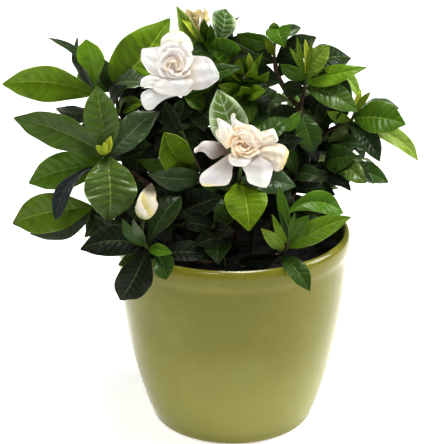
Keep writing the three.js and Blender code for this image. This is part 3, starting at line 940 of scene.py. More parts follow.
@dataclass
class Pot:
    """The glazed bowl: a rounded foot, a curved side, a proud rim band and a hollow inside.

    The shoulder under the rim band and its lip are drawn by steps: how far out from the body's or the rim's
    radius, and how far up from the rim band's lower edge. The side's rings start at a height and end below
    that edge, and the inside's rings start above it and end at a height.
    """

    height: float = 155
    rim_band: float = 15
    rim_radius: float = 90
    body_radius: float = 88
    body_flare: float = 26
    body_curve: float = 1.9
    foot_radius: float = 58
    foot_round: float = 5
    wall: float = 4.6
    floor: float = 6
    floor_radius: float = 55
    floor_round: tuple[float, float] = (3, 1.5)
    side_start: float = 12
    side_end: float = 6
    side_rings: int = 16
    inside_start: float = 6
    inside_end: float = 16
    inside_rings: int = 8
    foot_turns: tuple[float, ...] = (22, 45, 68, 90)
    shoulder: tuple = ((0, -4.4), (0.25, -2.4), (0.7, -0.6), (1.25, 1.2), (1.7, 3))
    lip: tuple = (
        (-0.05, 5), (0, 7), (0, 9), (-0.3, 11), (-1.0, 12.8), (-2.2, 14.2), (-3.6, 15), (-4.8, 14.4),
        (-5.6, 13), (-6.1, 10.6),
    )
    sides: int = 96

    def side_radius(self, z: float) -> float:
        """Gives the side's radius at a height."""
        return self.body_radius - self.body_flare * (1 - z / (self.height - self.rim_band)) ** self.body_curve

    def profile(self) -> Iterator[tuple[float, float]]:
        """Gives the rings from the foot, over the rim, to the inside floor, as radius and height."""
        band = self.height - self.rim_band
        for degrees in self.foot_turns:
            turn = math.radians(degrees)
            yield (
                self.foot_radius + self.foot_round * math.sin(turn),
                self.foot_round * (1 - math.cos(turn)),
            )
        for i in range(self.side_rings + 1):
            z = self.side_start + (band - self.side_end - self.side_start) * i / self.side_rings
            yield self.side_radius(z), z
        for out, up in self.shoulder:
            yield self.body_radius + out, band + up
        for out, up in self.lip:
            yield self.rim_radius + out, band + up
        top = band + self.inside_start
        for i in range(self.inside_rings + 1):
            z = top + (self.inside_end - top) * i / self.inside_rings
            yield self.side_radius(min(z, band)) - self.wall, z
        inset, rise = self.floor_round
        yield self.floor_radius, self.floor + rise
        yield self.floor_radius - inset, self.floor

    def build(self) -> bpy.types.Object:
        """Models the pot from its foot up and over into its inside.

        Returns:
            The pot.
        """
        Bench.clear()
        bpy.ops.mesh.primitive_circle_add(
            vertices=self.sides, radius=self.foot_radius * MM, fill_type="NGON", location=(0, 0, 0)
        )
        pot = bpy.context.view_layer.objects.active
        bpy.ops.object.mode_set(mode="EDIT")
        bpy.ops.mesh.select_all(action="SELECT")
        bpy.ops.mesh.normals_make_consistent(inside=False)
        radius, height = self.foot_radius, 0.0
        for ring, level in self.profile():
            bpy.ops.mesh.extrude_region_move(
                TRANSFORM_OT_translate={"value": (0, 0, (level - height) * MM)}
            )
            bpy.ops.transform.resize(value=(ring / radius, ring / radius, 1))
            radius, height = ring, level
        bpy.ops.mesh.select_all(action="SELECT")
        bpy.ops.mesh.normals_make_consistent(inside=False)
        bpy.ops.object.mode_set(mode="OBJECT")
        pot.name = "glazed-pot"
        pot.data.materials.append(GlazeFinish().material())
        Bench.smooth(pot, 40)
        Bench.hand_over(pot, "glaze", "pot")
        return pot


@dataclass
class Soil:
    """The soil: it fills the pot, with a lumpy top, crumbs and a few dry twigs."""

    pot: Pot
    top: float = 137
    levels: tuple[float, ...] = (16, 50, 90, 125)
    side_gap: float = 0.3
    foot_inset: float = 1.2
    foot_gap: float = 0.4
    lump: float = 2.2
    sides: int = 72
    rings: int = 26
    crumbs: int = 170
    crumb_size: tuple[float, float] = (0.7, 2.3)
    crumb_spread: float = 78
    crumb_seed: int = 11
    twig_radius: float = 0.8
    twigs: tuple = (
        ((-16, 137, -52), (-5, 142, -46)),
        ((-13, 135, -56), (-1, 138, -52)),
        ((6, 140, -40), (16, 136, -46)),
    )

    def surface(self, x: float, y: float) -> float:
        """Gives the height of the soil's top at a place."""
        wide = noise.noise(Vector((x * 0.045, y * 0.045, 3.0)))
        fine = noise.noise(Vector((x * 0.22, y * 0.22, 7.0)))
        return self.top + self.lump * (wide + 0.45 * fine)

    def build(self) -> bpy.types.Object:
        """Models the soil.

        Returns:
            The soil.
        """
        Bench.clear()
        foot = self.pot.floor + self.foot_gap
        radius, height = self.pot.floor_radius - self.foot_inset, foot
        bpy.ops.mesh.primitive_circle_add(
            vertices=self.sides, radius=radius * MM, fill_type="NGON", location=(0, 0, height * MM)
        )
        body = bpy.context.view_layer.objects.active
        bpy.ops.object.mode_set(mode="EDIT")
        bpy.ops.mesh.select_all(action="SELECT")
        for level in (*self.levels, self.top):
            ring = self.pot.side_radius(level) - self.pot.wall - self.side_gap
            bpy.ops.mesh.extrude_region_move(
                TRANSFORM_OT_translate={"value": (0, 0, (level - height) * MM)}
            )
            bpy.ops.transform.resize(value=(ring / radius, ring / radius, 1))
            radius, height = ring, level
        for i in range(self.rings):
            share = 1 - 1 / (self.rings + 1 - i)
            bpy.ops.mesh.extrude_region_move(TRANSFORM_OT_translate={"value": (0, 0, 0)})
            bpy.ops.transform.resize(value=(share, share, 1))
        bpy.ops.mesh.select_all(action="SELECT")
        bpy.ops.mesh.normals_make_consistent(inside=False)
        bpy.ops.object.mode_set(mode="OBJECT")
        body.location = (0, 0, 0)
        for corner in body.data.vertices:
            corner.co.z += foot * MM
            if corner.co.z > (self.top - 1) * MM:
                corner.co.z = self.surface(corner.co.x / MM, corner.co.y / MM) * MM
        body.data.materials.append(SoilFinish().material())
        soil = Bench.join("potting-soil", [body, *self.scatter(), *self.sticks()])
        Bench.smooth(soil, 60)
        Bench.hand_over(soil, "soil", "soil")
        return soil

    def scatter(self) -> list[bpy.types.Object]:
        """Makes the crumbs that lie on the soil.

        Returns:
            The crumbs.
        """
        Bench.clear()
        bpy.ops.mesh.primitive_ico_sphere_add(subdivisions=1, radius=1)
        pattern = bpy.context.view_layer.objects.active
        draw = random.Random(self.crumb_seed)
        crumbs = []
        for i in range(self.crumbs):
            turn, out = draw.uniform(0, 2 * math.pi), self.crumb_spread * math.sqrt(draw.random())
            x, y = out * math.cos(turn), out * math.sin(turn)
            size = draw.uniform(*self.crumb_size)
            middle = Vector((x, y, self.surface(x, y) + size * 0.2)) * MM
            mesh = pattern.data.copy()
            for corner in mesh.vertices:
                rough = 1 + 0.35 * noise.noise(corner.co * 1.7 + Vector((i, 0, 0)))
                corner.co = middle + corner.co * size * rough * MM
            crumb = bpy.data.objects.new("crumb", mesh)
            bpy.context.scene.collection.objects.link(crumb)
            crumb.data.materials.append(bpy.data.materials["potting soil"])
            crumbs.append(crumb)
        bpy.data.objects.remove(pattern)
        return crumbs

    def sticks(self) -> list[bpy.types.Object]:
        """Makes the dry twigs that lie on the soil.

        Returns:
            The twigs.
        """
        dry = TwigFinish().material()
        twigs = []
        for start, end in self.twigs:
            points = []
            for place in (start, end):
                point = seen(place)
                point.z = self.surface(point.x, point.y) + self.twig_radius + 0.1
                points.append(point)
            middle = (points[0] + points[1]) / 2 + Vector((0.6, 0.8, 0.7))
            path = Path([points[0], middle, points[1]])
            twigs.append(Tube(path, self.twig_radius, taper=0.6).build("twig", dry))
        return twigs


@dataclass
class WoodyStems:
    """The brown stems and their forks."""

    branches: dict[str, list[tuple[float, list[Place]]]] = field(default_factory=lambda: {
        "woody-stem-right": [
            (2.6, [(24, 118, 12), (30, 150, 8), (47, 184, 2), (58, 200, 0), (64, 228, 0), (57, 242, 1),
                   (49, 250, 2)]),
            (2.0, [(50, 249, 2), (40, 262, 2), (33, 276, 2), (31, 288, 3)]),
            (1.8, [(49, 250, 2), (52, 256, 0), (53, 263, -2)]),
            (1.8, [(64, 224, 0), (74, 233, 0), (84, 237, -1)]),
            (1.5, [(58, 200, 0), (63, 205, -2), (66, 206, -6)]),
            (1.5, [(57, 242, 1), (52, 245, -3), (50, 246, -7)]),
        ],
        "woody-stem-left": [
            (2.5, [(-20, 118, 10), (-26, 148, 8), (-50, 178, -6), (-76, 198, -26), (-87, 205, -32)]),
            (2.0, [(-50, 178, -6), (-68, 212, -4), (-80, 234, -6), (-90, 246, -8)]),
            (1.5, [(-78, 230, -5), (-82, 242, 0), (-84, 247, 2)]),
            (1.6, [(-48, 176, -5), (-70, 175, -14), (-82, 174, -22)]),
        ],
        "woody-stem-centre": [
            (2.6, [(2, 118, 14), (2, 150, 12), (-2, 196, 8), (3, 236, 4), (8, 258, 2)]),
            (1.9, [(-1, 200, 8), (-18, 232, -6), (-34, 254, -16)]),
            (1.8, [(3, 236, 4), (-6, 268, 4), (-13, 288, 4)]),
            (1.8, [(2, 160, 12), (4, 178, -14), (5, 190, -34)]),
            (1.6, [(-1, 184, 9), (-10, 187, -2), (-17, 190, -11)]),
        ],
        "woody-stem-front": [
            (2.2, [(-6, 112, -18), (-8, 122, -22), (-34, 127, -44), (-54, 131, -56)]),
            (2.0, [(-8, 120, -21), (14, 126, -40), (34, 131, -56)]),
        ],
    })

    def end(self, name: str, branch: int) -> tuple[Vector, Vector]:
        """Gives the end of a branch and its direction there.

        Args:
            name: The woody stem.
            branch: Which of its branches.

        Returns:
            The end and the direction.
        """
        before, end = (seen(place) for place in self.branches[name][branch][1][-2:])
        return end, (end - before).normalized()

    def path(self, name: str, branch: int) -> Path:
        """Gives the path of a branch."""
        return Path([seen(place) for place in self.branches[name][branch][1]])

    def build(self) -> None:
        """Models each woody stem with its forks."""
        bark = BarkFinish().material()
        for name, branches in self.branches.items():
            tubes = [
                Tube(self.path(name, i), branch[0], taper=0.86, swell=0.12, knots=4).build(name, bark)
                for i, branch in enumerate(branches)
            ]
            stem = Bench.join(f"bark-{name}", tubes)
            Bench.smooth(stem, 60)
            Bench.hand_over(stem, "bark", name)


class Detail(Enum):
    """How fine a leaf's grid is."""

    FINE = (12, 54)
    MEDIUM = (8, 30)
    COARSE = (6, 18)


@dataclass
class Foliage:
    """What every leafy shoot shares: the leaf's blanks, its veins and its finishes."""

    veins: float = 9.0
    sweep: float = 1.3
    thickness: float = 0.45
    stalk: float = 0.75

    def __post_init__(self) -> None:
        """Models the blanks and mixes the finishes."""
        self.blanks = {detail: Blank(f"leaf-blank-{detail.name}", *detail.value) for detail in Detail}
        self.upper = LeafFinish(LeafSide.UPPER, self.veins, self.sweep).material()
        self.under = LeafFinish(LeafSide.UNDER, self.veins, self.sweep).material()
        self.skin = GreenStemFinish().material()

    def leaf(self, blade: Blade, detail: Detail = Detail.FINE) -> bpy.types.Object:
        """Bends one leaf.

        Args:
            blade: Its place and form.
            detail: How fine its grid is.

        Returns:
            The leaf as a sheet.
        """
        blank = self.blanks[detail]
        veins = (self.veins, self.sweep) if detail is Detail.FINE else (0.0, 0.0)
        points = blade.shape(blank.u, blank.v, leaf_half, veins, self.stalk)
        leaf = blank.cut("leaf", points, blank.plain(blade.tint), blade.draw, blade.sheen)
        leaf.data.materials.append(self.upper)
        leaf.data.materials.append(self.under)
        return leaf

    def shoot(self, name: str, leaves: list[bpy.types.Object], stems: list[bpy.types.Object]) -> None:
        """Finishes a shoot from its sheets and stems.

        Args:
            name: The solid that the shoot stands for.
            leaves: The leaves as sheets.
            stems: The stem and what is rooted on it.
        """
        blades = Bench.join(name, leaves)
        Bench.weld(blades)
        Bench.thicken(blades, self.thickness, 1)
        piece = Bench.join(f"leafy-{name}", [blades, *stems])
        Bench.smooth(piece)
        Bench.hand_over(piece, "leaf", name)

    def tint(self, tone: LeafTone, draw: random.Random) -> Colour:
        """Varies a tone a little.

        Args:
            tone: The leaf's tone.
            draw: The shoot's draws.

        Returns:
            The leaf's colour.
        """
        red, green, blue, _ = paint(tone.value)
        strength = draw.uniform(0.88, 1.12)
        return red * strength * draw.uniform(0.92, 1.08), green * strength, blue * strength, 1.0

    def habit(self, draw: random.Random) -> Habit:
        """Draws how a leaf bends.

        Args:
            draw: The shoot's draws.

        Returns:
            The habit.
        """
        return Habit(
            fold=draw.uniform(0.22, 0.42),
            quilt=draw.uniform(0.06, 0.10),
            wave=draw.uniform(0.05, 0.16),
            waves=draw.uniform(1.6, 3.0),
            phase=draw.random(),
            twist=draw.uniform(-16, 16),
            sway=draw.uniform(-0.035, 0.035),
            droop=draw.uniform(0.0, 0.05),
            curl=draw.uniform(0.02, 0.12),
        )


T = LeafTone

GLOSSY = 0.8
SHEEN = {
    T.TENDER: 0.2, T.PALE: 0.3, T.LIME: 0.25, T.MINT: 0.3, T.GRASS: 0.45, T.FRESH: 0.35, T.MID: 0.3,
    T.SAGE: 0.6, T.OLIVE: GLOSSY, T.GREY: GLOSSY, T.DEEP: 0.35, T.DARK: 0.3, T.SLATE_SHEEN: GLOSSY, T.INK: 0.1,
}


@dataclass
class Leaf:
    """A leaf that is placed one by one.

    It is given by its place along the stem, the place of its tip, its width, its turn in degrees about its
    length, its arch and its tone, and where it bends in a way of its own, by that part of its habit.
    """

    where: float
    tip: Place
    width: float
    turn: float
    arch: float
    tone: LeafTone
    own: dict[str, float] = field(default_factory=dict)

    @property
    def detail(self) -> Detail:
        """How fine its grid is."""
        return Detail.COARSE if self.width < 9 else Detail.FINE


@dataclass
class LeafyShoot:
    """A green stem with its leaves, at the front or the top of the plant.

    It starts at the end of one branch of a woody stem, and may carry a bloom.
    """

    name: str
    start: tuple[str, int]
    stem: list[Place]
    radius: float
    leaves: list[Leaf]
    carries: str | None = None

    def build(self, foliage: Foliage, wood: WoodyStems, blooms: dict[str, "Bloom"], seed: int) -> None:
        """Models the shoot.

        Args:
            foliage: The blanks and finishes.
            wood: The woody stems, on one of which the shoot grows.
            blooms: The blooms, one of which it may carry.
            seed: Where its draws start.
        """
        draw = random.Random(seed)
        end, onward = wood.end(*self.start)
        points = [end + onward * JOIN_GAP, end + onward * 3, *(seen(place) for place in self.stem)]
        stems = []
        if self.carries:
            bloom = blooms[self.carries]
            points += [bloom.foot - bloom.out * 7, bloom.foot - bloom.out * JOIN_GAP]
            stems.append(bloom.calyx(foliage))
        path = Path(points)
        shown = Path([end - onward * 1.2, *points[1:]])
        stems.insert(0, Tube(shown, self.radius, 0.8).build(self.name, foliage.skin))
        leaves = []
        for leaf in self.leaves:
            root = path.on_stem(leaf.where)
            habit = replace(foliage.habit(draw), **leaf.own)
            blade = Blade(
                root, seen(leaf.tip), leaf.width, (EYE - root).normalized(), leaf.turn, leaf.arch,
                habit, foliage.tint(leaf.tone, draw), draw.random(), SHEEN[leaf.tone],
            )
            leaves.append(foliage.leaf(blade, leaf.detail))
        foliage.shoot(self.name, leaves, stems)


SHOOTS = (
    LeafyShoot(
        "shoot-upper-left", ("woody-stem-left", 1), [(-99, 258, -10), (-103, 266, -12)], 1.6,
        [
            Leaf(0.8, (-170, 268, -16), 27.5, 22, 6, T.FRESH, {"sway": 0.112, "droop": 0.0}),
            Leaf(1, (-136, 303, 4), 6, 15, 3, T.GREY, {"sway": 0.2, "wave": 0.2}),
            Leaf(0.9, (-115, 303, 2), 15, 60, 3, T.DARK, {"twist": 0.0}),
            Leaf(1, (-107, 302, -20), 20, 14, 3, T.FRESH, {"sway": 0.08, "blunt": 0.9}),
            Leaf(0.1, (-132, 248, 6), 15, 35, 4, T.DARK),
        ],
    ),
    LeafyShoot(
        "shoot-behind-bloom", ("woody-stem-left", 2), [(-86, 262, 1), (-87, 270, 0)], 1.4,
        [
            Leaf(0.9, (-46, 318, 4), 38, 12, 5, T.FRESH, {"sway": 0.05, "blunt": -0.35}),
            Leaf(1, (-63, 268, -14), 18, 35, 4, T.GREY),
            Leaf(0.6, (-94, 287, 8), 13, 10, 3, T.DARK, {"twist": 0.0}),
            Leaf(0.1, (-66, 253, -24), 13, 20, 3, T.GRASS),
            Leaf(0.7, (-112, 288, 34), 24, 30, 5, T.MID),
        ],
    ),
    LeafyShoot(
        "shoot-left", ("woody-stem-left", 0), [(-92, 210, -37), (-94, 214, -41)], 1.6,
        [
            Leaf(1, (-100, 267, -34), 25, 8, 5, T.SAGE, {"fold": 0.45, "quilt": 0.13}),
            Leaf(0.7, (-163, 242, -34), 25, 14, 6, T.SAGE, {"sway": 0.08, "droop": 0.0}),
            Leaf(0.4, (-154, 190, -38), 27, 12, 6, T.MID, {"sway": 0.07}),
            Leaf(0.9, (-94, 159, -64), 38, 4, 8, T.SAGE, {"quilt": 0.12}),
            Leaf(0.8, (-55, 247, -36), 23, 22, 5, T.GREY),
            Leaf(0.5, (-61, 222, -28), 17, 45, 4, T.DARK),
            Leaf(
                0.1, (-135, 160, -62), 13, -6, 6, T.SLATE_SHEEN,
                {"sway": 0.2, "droop": 0.0, "fold": 0.4, "blunt": 1.6},
            ),
            Leaf(1, (-91, 227, -50), 6, 10, 1, T.TENDER),
            Leaf(1, (-96, 222, -54), 4, 0, 1, T.TENDER),
            Leaf(1, (-102, 220, -52), 6, 0, 1, T.TENDER),
        ],
    ),
    LeafyShoot(
        "shoot-lower-left", ("woody-stem-left", 3), [(-98, 172, -28), (-107, 171, -32)], 1.5,
        [
            Leaf(1, (-168, 157, -38), 30, 10, 6, T.GRASS, {"sway": 0.065}),
            Leaf(0.8, (-155, 147, -22), 20, 34, 5, T.DARK),
            Leaf(0.9, (-112, 146, -48), 17, 40, 4, T.DARK),
            Leaf(0.5, (-106, 188, 8), 16, 30, 3, T.DARK),
        ],
    ),
    LeafyShoot(
        "shoot-front-left", ("woody-stem-front", 0),
        [(-61, 134, -62), (-66, 138, -68), (-69, 150, -72), (-68, 160, -75)], 1.5,
        [
            Leaf(0.5, (-117, 136, -76), 23, -6, 6, T.INK, {"sway": 0.12, "droop": 0.0, "quilt": 0.12}),
            Leaf(0.5, (-106, 164, -54), 15, 20, 4, T.DARK),
            Leaf(0.6, (-87, 93, -74), 26, 14, 7, T.INK),
            Leaf(0.4, (-88, 123, -70), 12, 10, 3, T.MID),
            Leaf(0.55, (-97, 152, -60), 13, 25, 3, T.DEEP),
            Leaf(0.62, (-84, 161, -84), 9, 30, 3, T.DEEP),
            Leaf(0.7, (-76, 160, -86), 7, 20, 3, T.GREY),
            Leaf(0.55, (-46, 133, -84), 9, 12, 3, T.MID),
            Leaf(0.55, (-51, 111, -86), 16, 12, 4, T.DEEP, {"fold": 0.4, "blunt": 0.9, "sway": -0.12}),
            Leaf(0.6, (-39, 180, -52), 22, 28, 4, T.DARK, {"blunt": 0.5}),
            Leaf(0.3, (-13, 130, -66), 17, 30, 6, T.INK),
        ],
    ),
    LeafyShoot(
        "shoot-centre-left", ("woody-stem-centre", 4), [(-28, 208, -28), (-38, 231, -40)], 1.4,
        [
            Leaf(
                0.4, (-50, 229, -60), 24, 0, -5, T.GRASS,
                {"fold": 0.6, "curl": 0.0, "blunt": 0.55, "sway": -0.07},
            ),
            Leaf(0.45, (-62, 196, -50), 18, 18, 4, T.GREY),
            Leaf(0.6, (-72, 207, -26), 14, 40, 3, T.MID),
            Leaf(0.95, (-50, 255, -24), 15, 35, 3, T.DARK),
            Leaf(0.2, (-13, 166, -46), 18, 12, 4, T.DEEP),
            Leaf(0.3, (-48, 172, -20), 22, 24, 5, T.DARK),
        ],
    ),
    LeafyShoot(
        "shoot-lower-bloom", ("woody-stem-centre", 3), [(6, 201, -50)], 1.5,
        [
            Leaf(0.2, (12.5, 152, -72), 31, 4, 6, T.LIME, {"sway": -0.04}),
            Leaf(0.6, (-11, 264, -46), 27, 8, 3, T.PALE),
            Leaf(0.3, (48, 188, -50), 20, 24, 5, T.GREY),
            Leaf(0.6, (42, 243, -36), 19, 30, 4, T.DEEP),
        ],
        "bloom-lower",
    ),
    LeafyShoot(
        "shoot-upper-bloom", ("woody-stem-centre", 1), [(-37, 262, -22)], 1.5,
        [
            Leaf(0.2, (-8, 272, -20), 13, 36, 3, T.MID),
            Leaf(0.1, (-80, 257, -6), 19, 10, 3, T.INK, {"sway": 0.0}),
            Leaf(0.3, (-64, 243, -20), 17, 20, 3, T.INK),
            Leaf(0.4, (-20, 250, -24), 14, 26, 3, T.MID),
            Leaf(0.1, (-14, 237, -14), 18, 0, 4, T.DARK),
            Leaf(0.35, (-40, 240, -26), 15, 20, 3, T.DARK),
            Leaf(0.5, (6, 281, -26), 14, 30, 3, T.DEEP),
        ],
        "bloom-upper",
    ),
    LeafyShoot(
        "shoot-top", ("woody-stem-centre", 2), [(-19, 299, 2), (-25, 305, 1)], 1.3,
        [
            Leaf(0.5, (-40, 327, -14), 14, -22, 2, T.MINT, {"sway": -0.17, "fold": 0.6}),
            Leaf(0.6, (-36, 317, -18), 6, -22, 1, T.TENDER),
            Leaf(0.6, (-21, 317, -14), 8, 20, 1, T.MID),
            Leaf(0.6, (-16, 313, -16), 6, -20, 1, T.MID),
            Leaf(0.4, (-5, 325, 4), 20, 15, 2, T.PALE, {"blunt": 1.2, "sway": 0.1}),
            Leaf(0.1, (4, 319, 12), 14, 68, 3, T.DARK),
        ],
    ),
    LeafyShoot(
        "shoot-upper-centre", ("woody-stem-centre", 0), [(11, 269, -3), (13, 277, -6)], 1.4,
        [
            Leaf(1, (12, 292, -8), 5, 10, 1, T.TENDER),
            Leaf(0.2, (3, 290, -14), 8, 14, 2, T.LIME),
            Leaf(0.2, (22, 292, -14), 5, 14, 2, T.LIME),
            Leaf(0.2, (-14, 290, -14), 4, 14, 2, T.LIME),
            Leaf(0.3, (17, 284, -16), 9, -12, 2, T.FRESH),
            Leaf(0.1, (-6, 280, -14), 11, 24, 2, T.FRESH),
            Leaf(0.1, (27, 277, -14), 11, -15, 2, T.FRESH),
            Leaf(0.3, (-10, 267, -20), 12, 20, 2, T.FRESH),
            Leaf(0.3, (24, 263, -22), 12, 10, 2, T.FRESH),
            Leaf(0.2, (7, 266, -22), 12, -10, 2, T.FRESH),
            Leaf(0.1, (-4, 252, -22), 13, 24, 3, T.MID),
            Leaf(0.2, (14, 238, -16), 14, 12, 3, T.MID),
            Leaf(0.7, (36, 270, -12), 15, 32, 3, T.DARK),
            Leaf(0.9, (-28, 297, -4), 25, 14, 5, T.MID, {"sway": 0.14, "quilt": 0.12}),
        ],
    ),
    LeafyShoot(
        "shoot-top-right", ("woody-stem-right", 1), [(31, 300, 2), (32, 312, 1)], 1.3,
        [
            Leaf(0.6, (3, 306, -2), 15, 35, 3, T.MID, {"sway": 0.06}),
            Leaf(1, (38, 296, -16), 19, 8, 6, T.MID, {"blunt": -0.15}),
            Leaf(0.9, (50, 311, 2), 9, 12, 2, T.GREY),
            Leaf(0.9, (30, 315, 2), 8, 12, 2, T.MID),
            Leaf(0.1, (24, 303, -4), 6, 10, 1, T.LIME),
        ],
    ),
    LeafyShoot(
        "shoot-right-upper", ("woody-stem-right", 2), [(54, 270, -4), (54, 276, -6)], 1.4,
        [
            Leaf(1, (47, 304, -14), 4, 10, 1, T.LIME),
            Leaf(1, (58, 300, -20), 4, -10, 1, T.LIME),
            Leaf(1, (42, 296, -12), 4, -10, 1, T.FRESH),
            Leaf(0.1, (37, 268, -4), 13, 20, 3, T.DARK),
            Leaf(1, (53, 302, -18), 4, 0, 1, T.TENDER),
            Leaf(0.9, (71, 298, -10), 16, 15, 3, T.MINT),
            Leaf(0.7, (87, 288, 4), 24, 24, 8, T.DARK, {"sway": -0.13}),
            Leaf(0.8, (99, 281, -14), 15, 14, 4, T.FRESH, {"sway": 0.04, "blunt": -0.4}),
            Leaf(0.3, (93, 247, -24), 19, 14, 4, T.SAGE, {"sway": -0.05}),
            Leaf(0.5, (98, 251, 16), 15, 20, 4, T.MINT, {"sway": -0.28}),
            Leaf(0.8, (35, 283, -14), 11, 18, 2, T.MID),
            Leaf(0.4, (41, 298, 10), 18, 18, 3, T.DEEP),
        ],
    ),
    LeafyShoot(
        "shoot-right", ("woody-stem-right", 3), [(89, 241, -4), (91, 246, -6)], 1.4,
        [
            Leaf(1, (95, 264, -6), 5, 0, 1, T.TENDER),
            Leaf(1, (102, 262, -10), 5, 8, 1, T.LIME),
            Leaf(0.8, (129, 237, -24), 25, 12, 5, T.MID),
            Leaf(1, (124, 250, 6), 15, 42, 4, T.GREY),
            Leaf(0.5, (140, 208, 12), 14, 22, 8, T.MINT, {"sway": -0.05}),
            Leaf(0.4, (111, 208, -22), 17, 24, 5, T.DARK),
            Leaf(0.2, (96, 213, -8), 12, 40, 5, T.GREY),
            Leaf(0.6, (70, 247, -14), 8, 10, 2, T.LIME),
            Leaf(0.3, (72, 223, -16), 10, 20, 3, T.OLIVE),
        ],
    ),
    LeafyShoot(
        "shoot-right-lower", ("woody-stem-right", 4), [(70, 205, -12), (73, 203, -17)], 1.3,
        [
            Leaf(0.5, (93, 212, -34), 20, 14, 4, T.DEEP),
            Leaf(0.9, (100, 191, -46), 15, 16, 4, T.SAGE, {"sway": -0.08, "blunt": 0.5}),
            Leaf(1, (107, 190, -34), 14, 20, 10, T.DARK),
            Leaf(0.4, (91, 193, 2), 16, 24, 4, T.DARK),
            Leaf(0.8, (118, 191, -30), 16, 28, 6, T.DEEP, {"blunt": 0.5, "sway": 0.0}),
            Leaf(0.2, (50, 189, -16), 12, 20, 3, T.DARK),
        ],
    ),
    LeafyShoot(
        "shoot-right-middle", ("woody-stem-right", 5), [(50, 246, -12), (51, 247, -16)], 1.3,
        [
            Leaf(0.8, (61, 214, -22), 19, 14, 4, T.DEEP),
            Leaf(0.5, (68, 238, -8), 11, 25, 3, T.DARK),
            Leaf(1, (38, 231, -26), 10, 30, 2, T.MID),
        ],
    ),
    LeafyShoot(
        "shoot-front-right", ("woody-stem-front", 1),
        [(42, 138, -67), (43, 147, -71), (41, 157, -68), (36, 165, -62)], 1.3,
        [
            Leaf(1, (85, 166, -52), 17.5, 12, 5, T.MID, {"sway": -0.18, "blunt": 0.4}),
            Leaf(0.55, (35, 188, -54), 8, 10, 3, T.MID),
            Leaf(0.36, (90, 163, -80), 17, 14, 6, T.GRASS, {"sway": 0.0}),
            Leaf(0.45, (58, 164, -80), 11, 10, 2, T.MID),
            Leaf(0.3, (22, 153, -76), 10, 12, 3, T.MINT),
            Leaf(0.15, (60, 101, -91), 15, 14, 9, T.DEEP, {"blunt": 0.5}),
            Leaf(0.06, (5, 126, -66), 15, 24, 4, T.INK),
            Leaf(0.5, (30, 165, -74), 4, 8, 1, T.FRESH),
            Leaf(0.5, (35, 168, -72), 4, 0, 1, T.DEEP),
            Leaf(0.5, (47, 166, -78), 4, 10, 1, T.MID),
            Leaf(0.45, (31, 157, -84), 5, 4, 1, T.LIME),
        ],
    ),
)


@dataclass
class FillShoot:
    """A shoot at the back or inside: pairs of leaves round a stem, each at right angles to the last.

    The leaves face upwards and away from the plant's middle, or from a point as far behind it as the lean.
    """

    name: str
    foot: tuple[float, float]
    end: tuple[float, float, float]
    pairs: int
    length: float
    seed: int
    lean: float = 0
    radius: float = 1.9
    depth: float = 24
    bow: float = 16
    start: float = 0.45
    rise: float = 60
    seed_step: int = 7919
    small: tuple[float, ...] = (0.34, 0.58, 0.86)
    tones: tuple[LeafTone, ...] = (T.DARK, T.DEEP, T.DEEP, T.MID)
    crown: LeafTone = T.MID
    sheen: float = 0.5

    def draws(self) -> Iterator[float]:
        """Gives the same sequence of numbers between 0 and 1 on every run."""
        state = self.seed * self.seed_step
        while True:
            state = state * 16807 % 2147483647
            yield state / 2147483647

    def facing(self, root: Vector) -> Vector:
        """Gives the way that a leaf faces which grows at a point."""
        return Vector((root.x, root.y - self.lean, self.rise)).normalized()

    def build(self, foliage: Foliage, soil: Soil) -> None:
        """Models the shoot.

        Args:
            foliage: The blanks and finishes.
            soil: The soil that it stands in.
        """
        foot = Vector((*self.foot, soil.top - self.depth))
        tip = Vector(self.end)
        path = Path([foot, (foot + tip) / 2 + Vector((0, 0, self.bow)), tip])
        draws = self.draws()
        looks = random.Random(self.seed)
        first = next(draws) * math.pi
        leaves = self.between(foliage, path, first + math.pi / 4, looks)
        for pair in range(self.pairs):
            last = pair == self.pairs - 1
            where = self.start + (1 - self.start) * pair / (self.pairs - 1)
            root = path.on_stem(where)
            heading = path.way(where)
            facing = self.facing(root)
            flat = heading.cross(Vector((1, 0, 0.2))).normalized()
            for half in range(2):
                angle = first + pair * math.pi / 2 + half * math.pi + (next(draws) - 0.5) * 0.7
                reach = self.length * (0.8 + 0.35 * next(draws)) * (0.7 if last else 1)
                width = reach * (0.42 + 0.1 * next(draws))
                arch = 4 + 4 * next(draws)
                rise = 0.35 + 0.3 * next(draws)
                way = flat.copy()
                way.rotate(Quaternion(heading, angle))
                way = (way + heading * rise).normalized()
                tone = self.crown if last and half else looks.choice(self.tones)
                blade = Blade(
                    root, root + way * reach, width, facing, 0, arch,
                    foliage.habit(looks), foliage.tint(tone, looks), looks.random(), self.sheen,
                )
                leaves.append(foliage.leaf(blade, Detail.MEDIUM))
        stem = Tube(path, self.radius, taper=0.7, knots=5).build(self.name, foliage.skin)
        foliage.shoot(self.name, leaves, [stem])

    def between(
        self, foliage: Foliage, path: Path, first: float, looks: random.Random
    ) -> list[bpy.types.Object]:
        """Bends the smaller leaves between the pairs.

        Args:
            foliage: The blanks and finishes.
            path: The stem's path.
            first: The angle of the lowest leaf.
            looks: The shoot's draws.

        Returns:
            The leaves.
        """
        leaves = []
        for i, where in enumerate(self.small):
            root = path.on_stem(where)
            heading = path.way(where)
            flat = heading.cross(Vector((1, 0, 0.2))).normalized()
            for half in range(2):
                way = flat.copy()
                way.rotate(Quaternion(heading, first + i * math.pi / 2 + half * math.pi))
                way = (way + heading * looks.uniform(0.5, 0.9)).normalized()
                reach = self.length * looks.uniform(0.55, 0.8)
                blade = Blade(
                    root, root + way * reach, reach * looks.uniform(0.4, 0.5),
                    self.facing(root), 0, looks.uniform(3, 7),
                    foliage.habit(looks), foliage.tint(looks.choice(self.tones[:2]), looks), looks.random(),
                    self.sheen,
                )
                leaves.append(foliage.leaf(blade, Detail.MEDIUM))
        return leaves


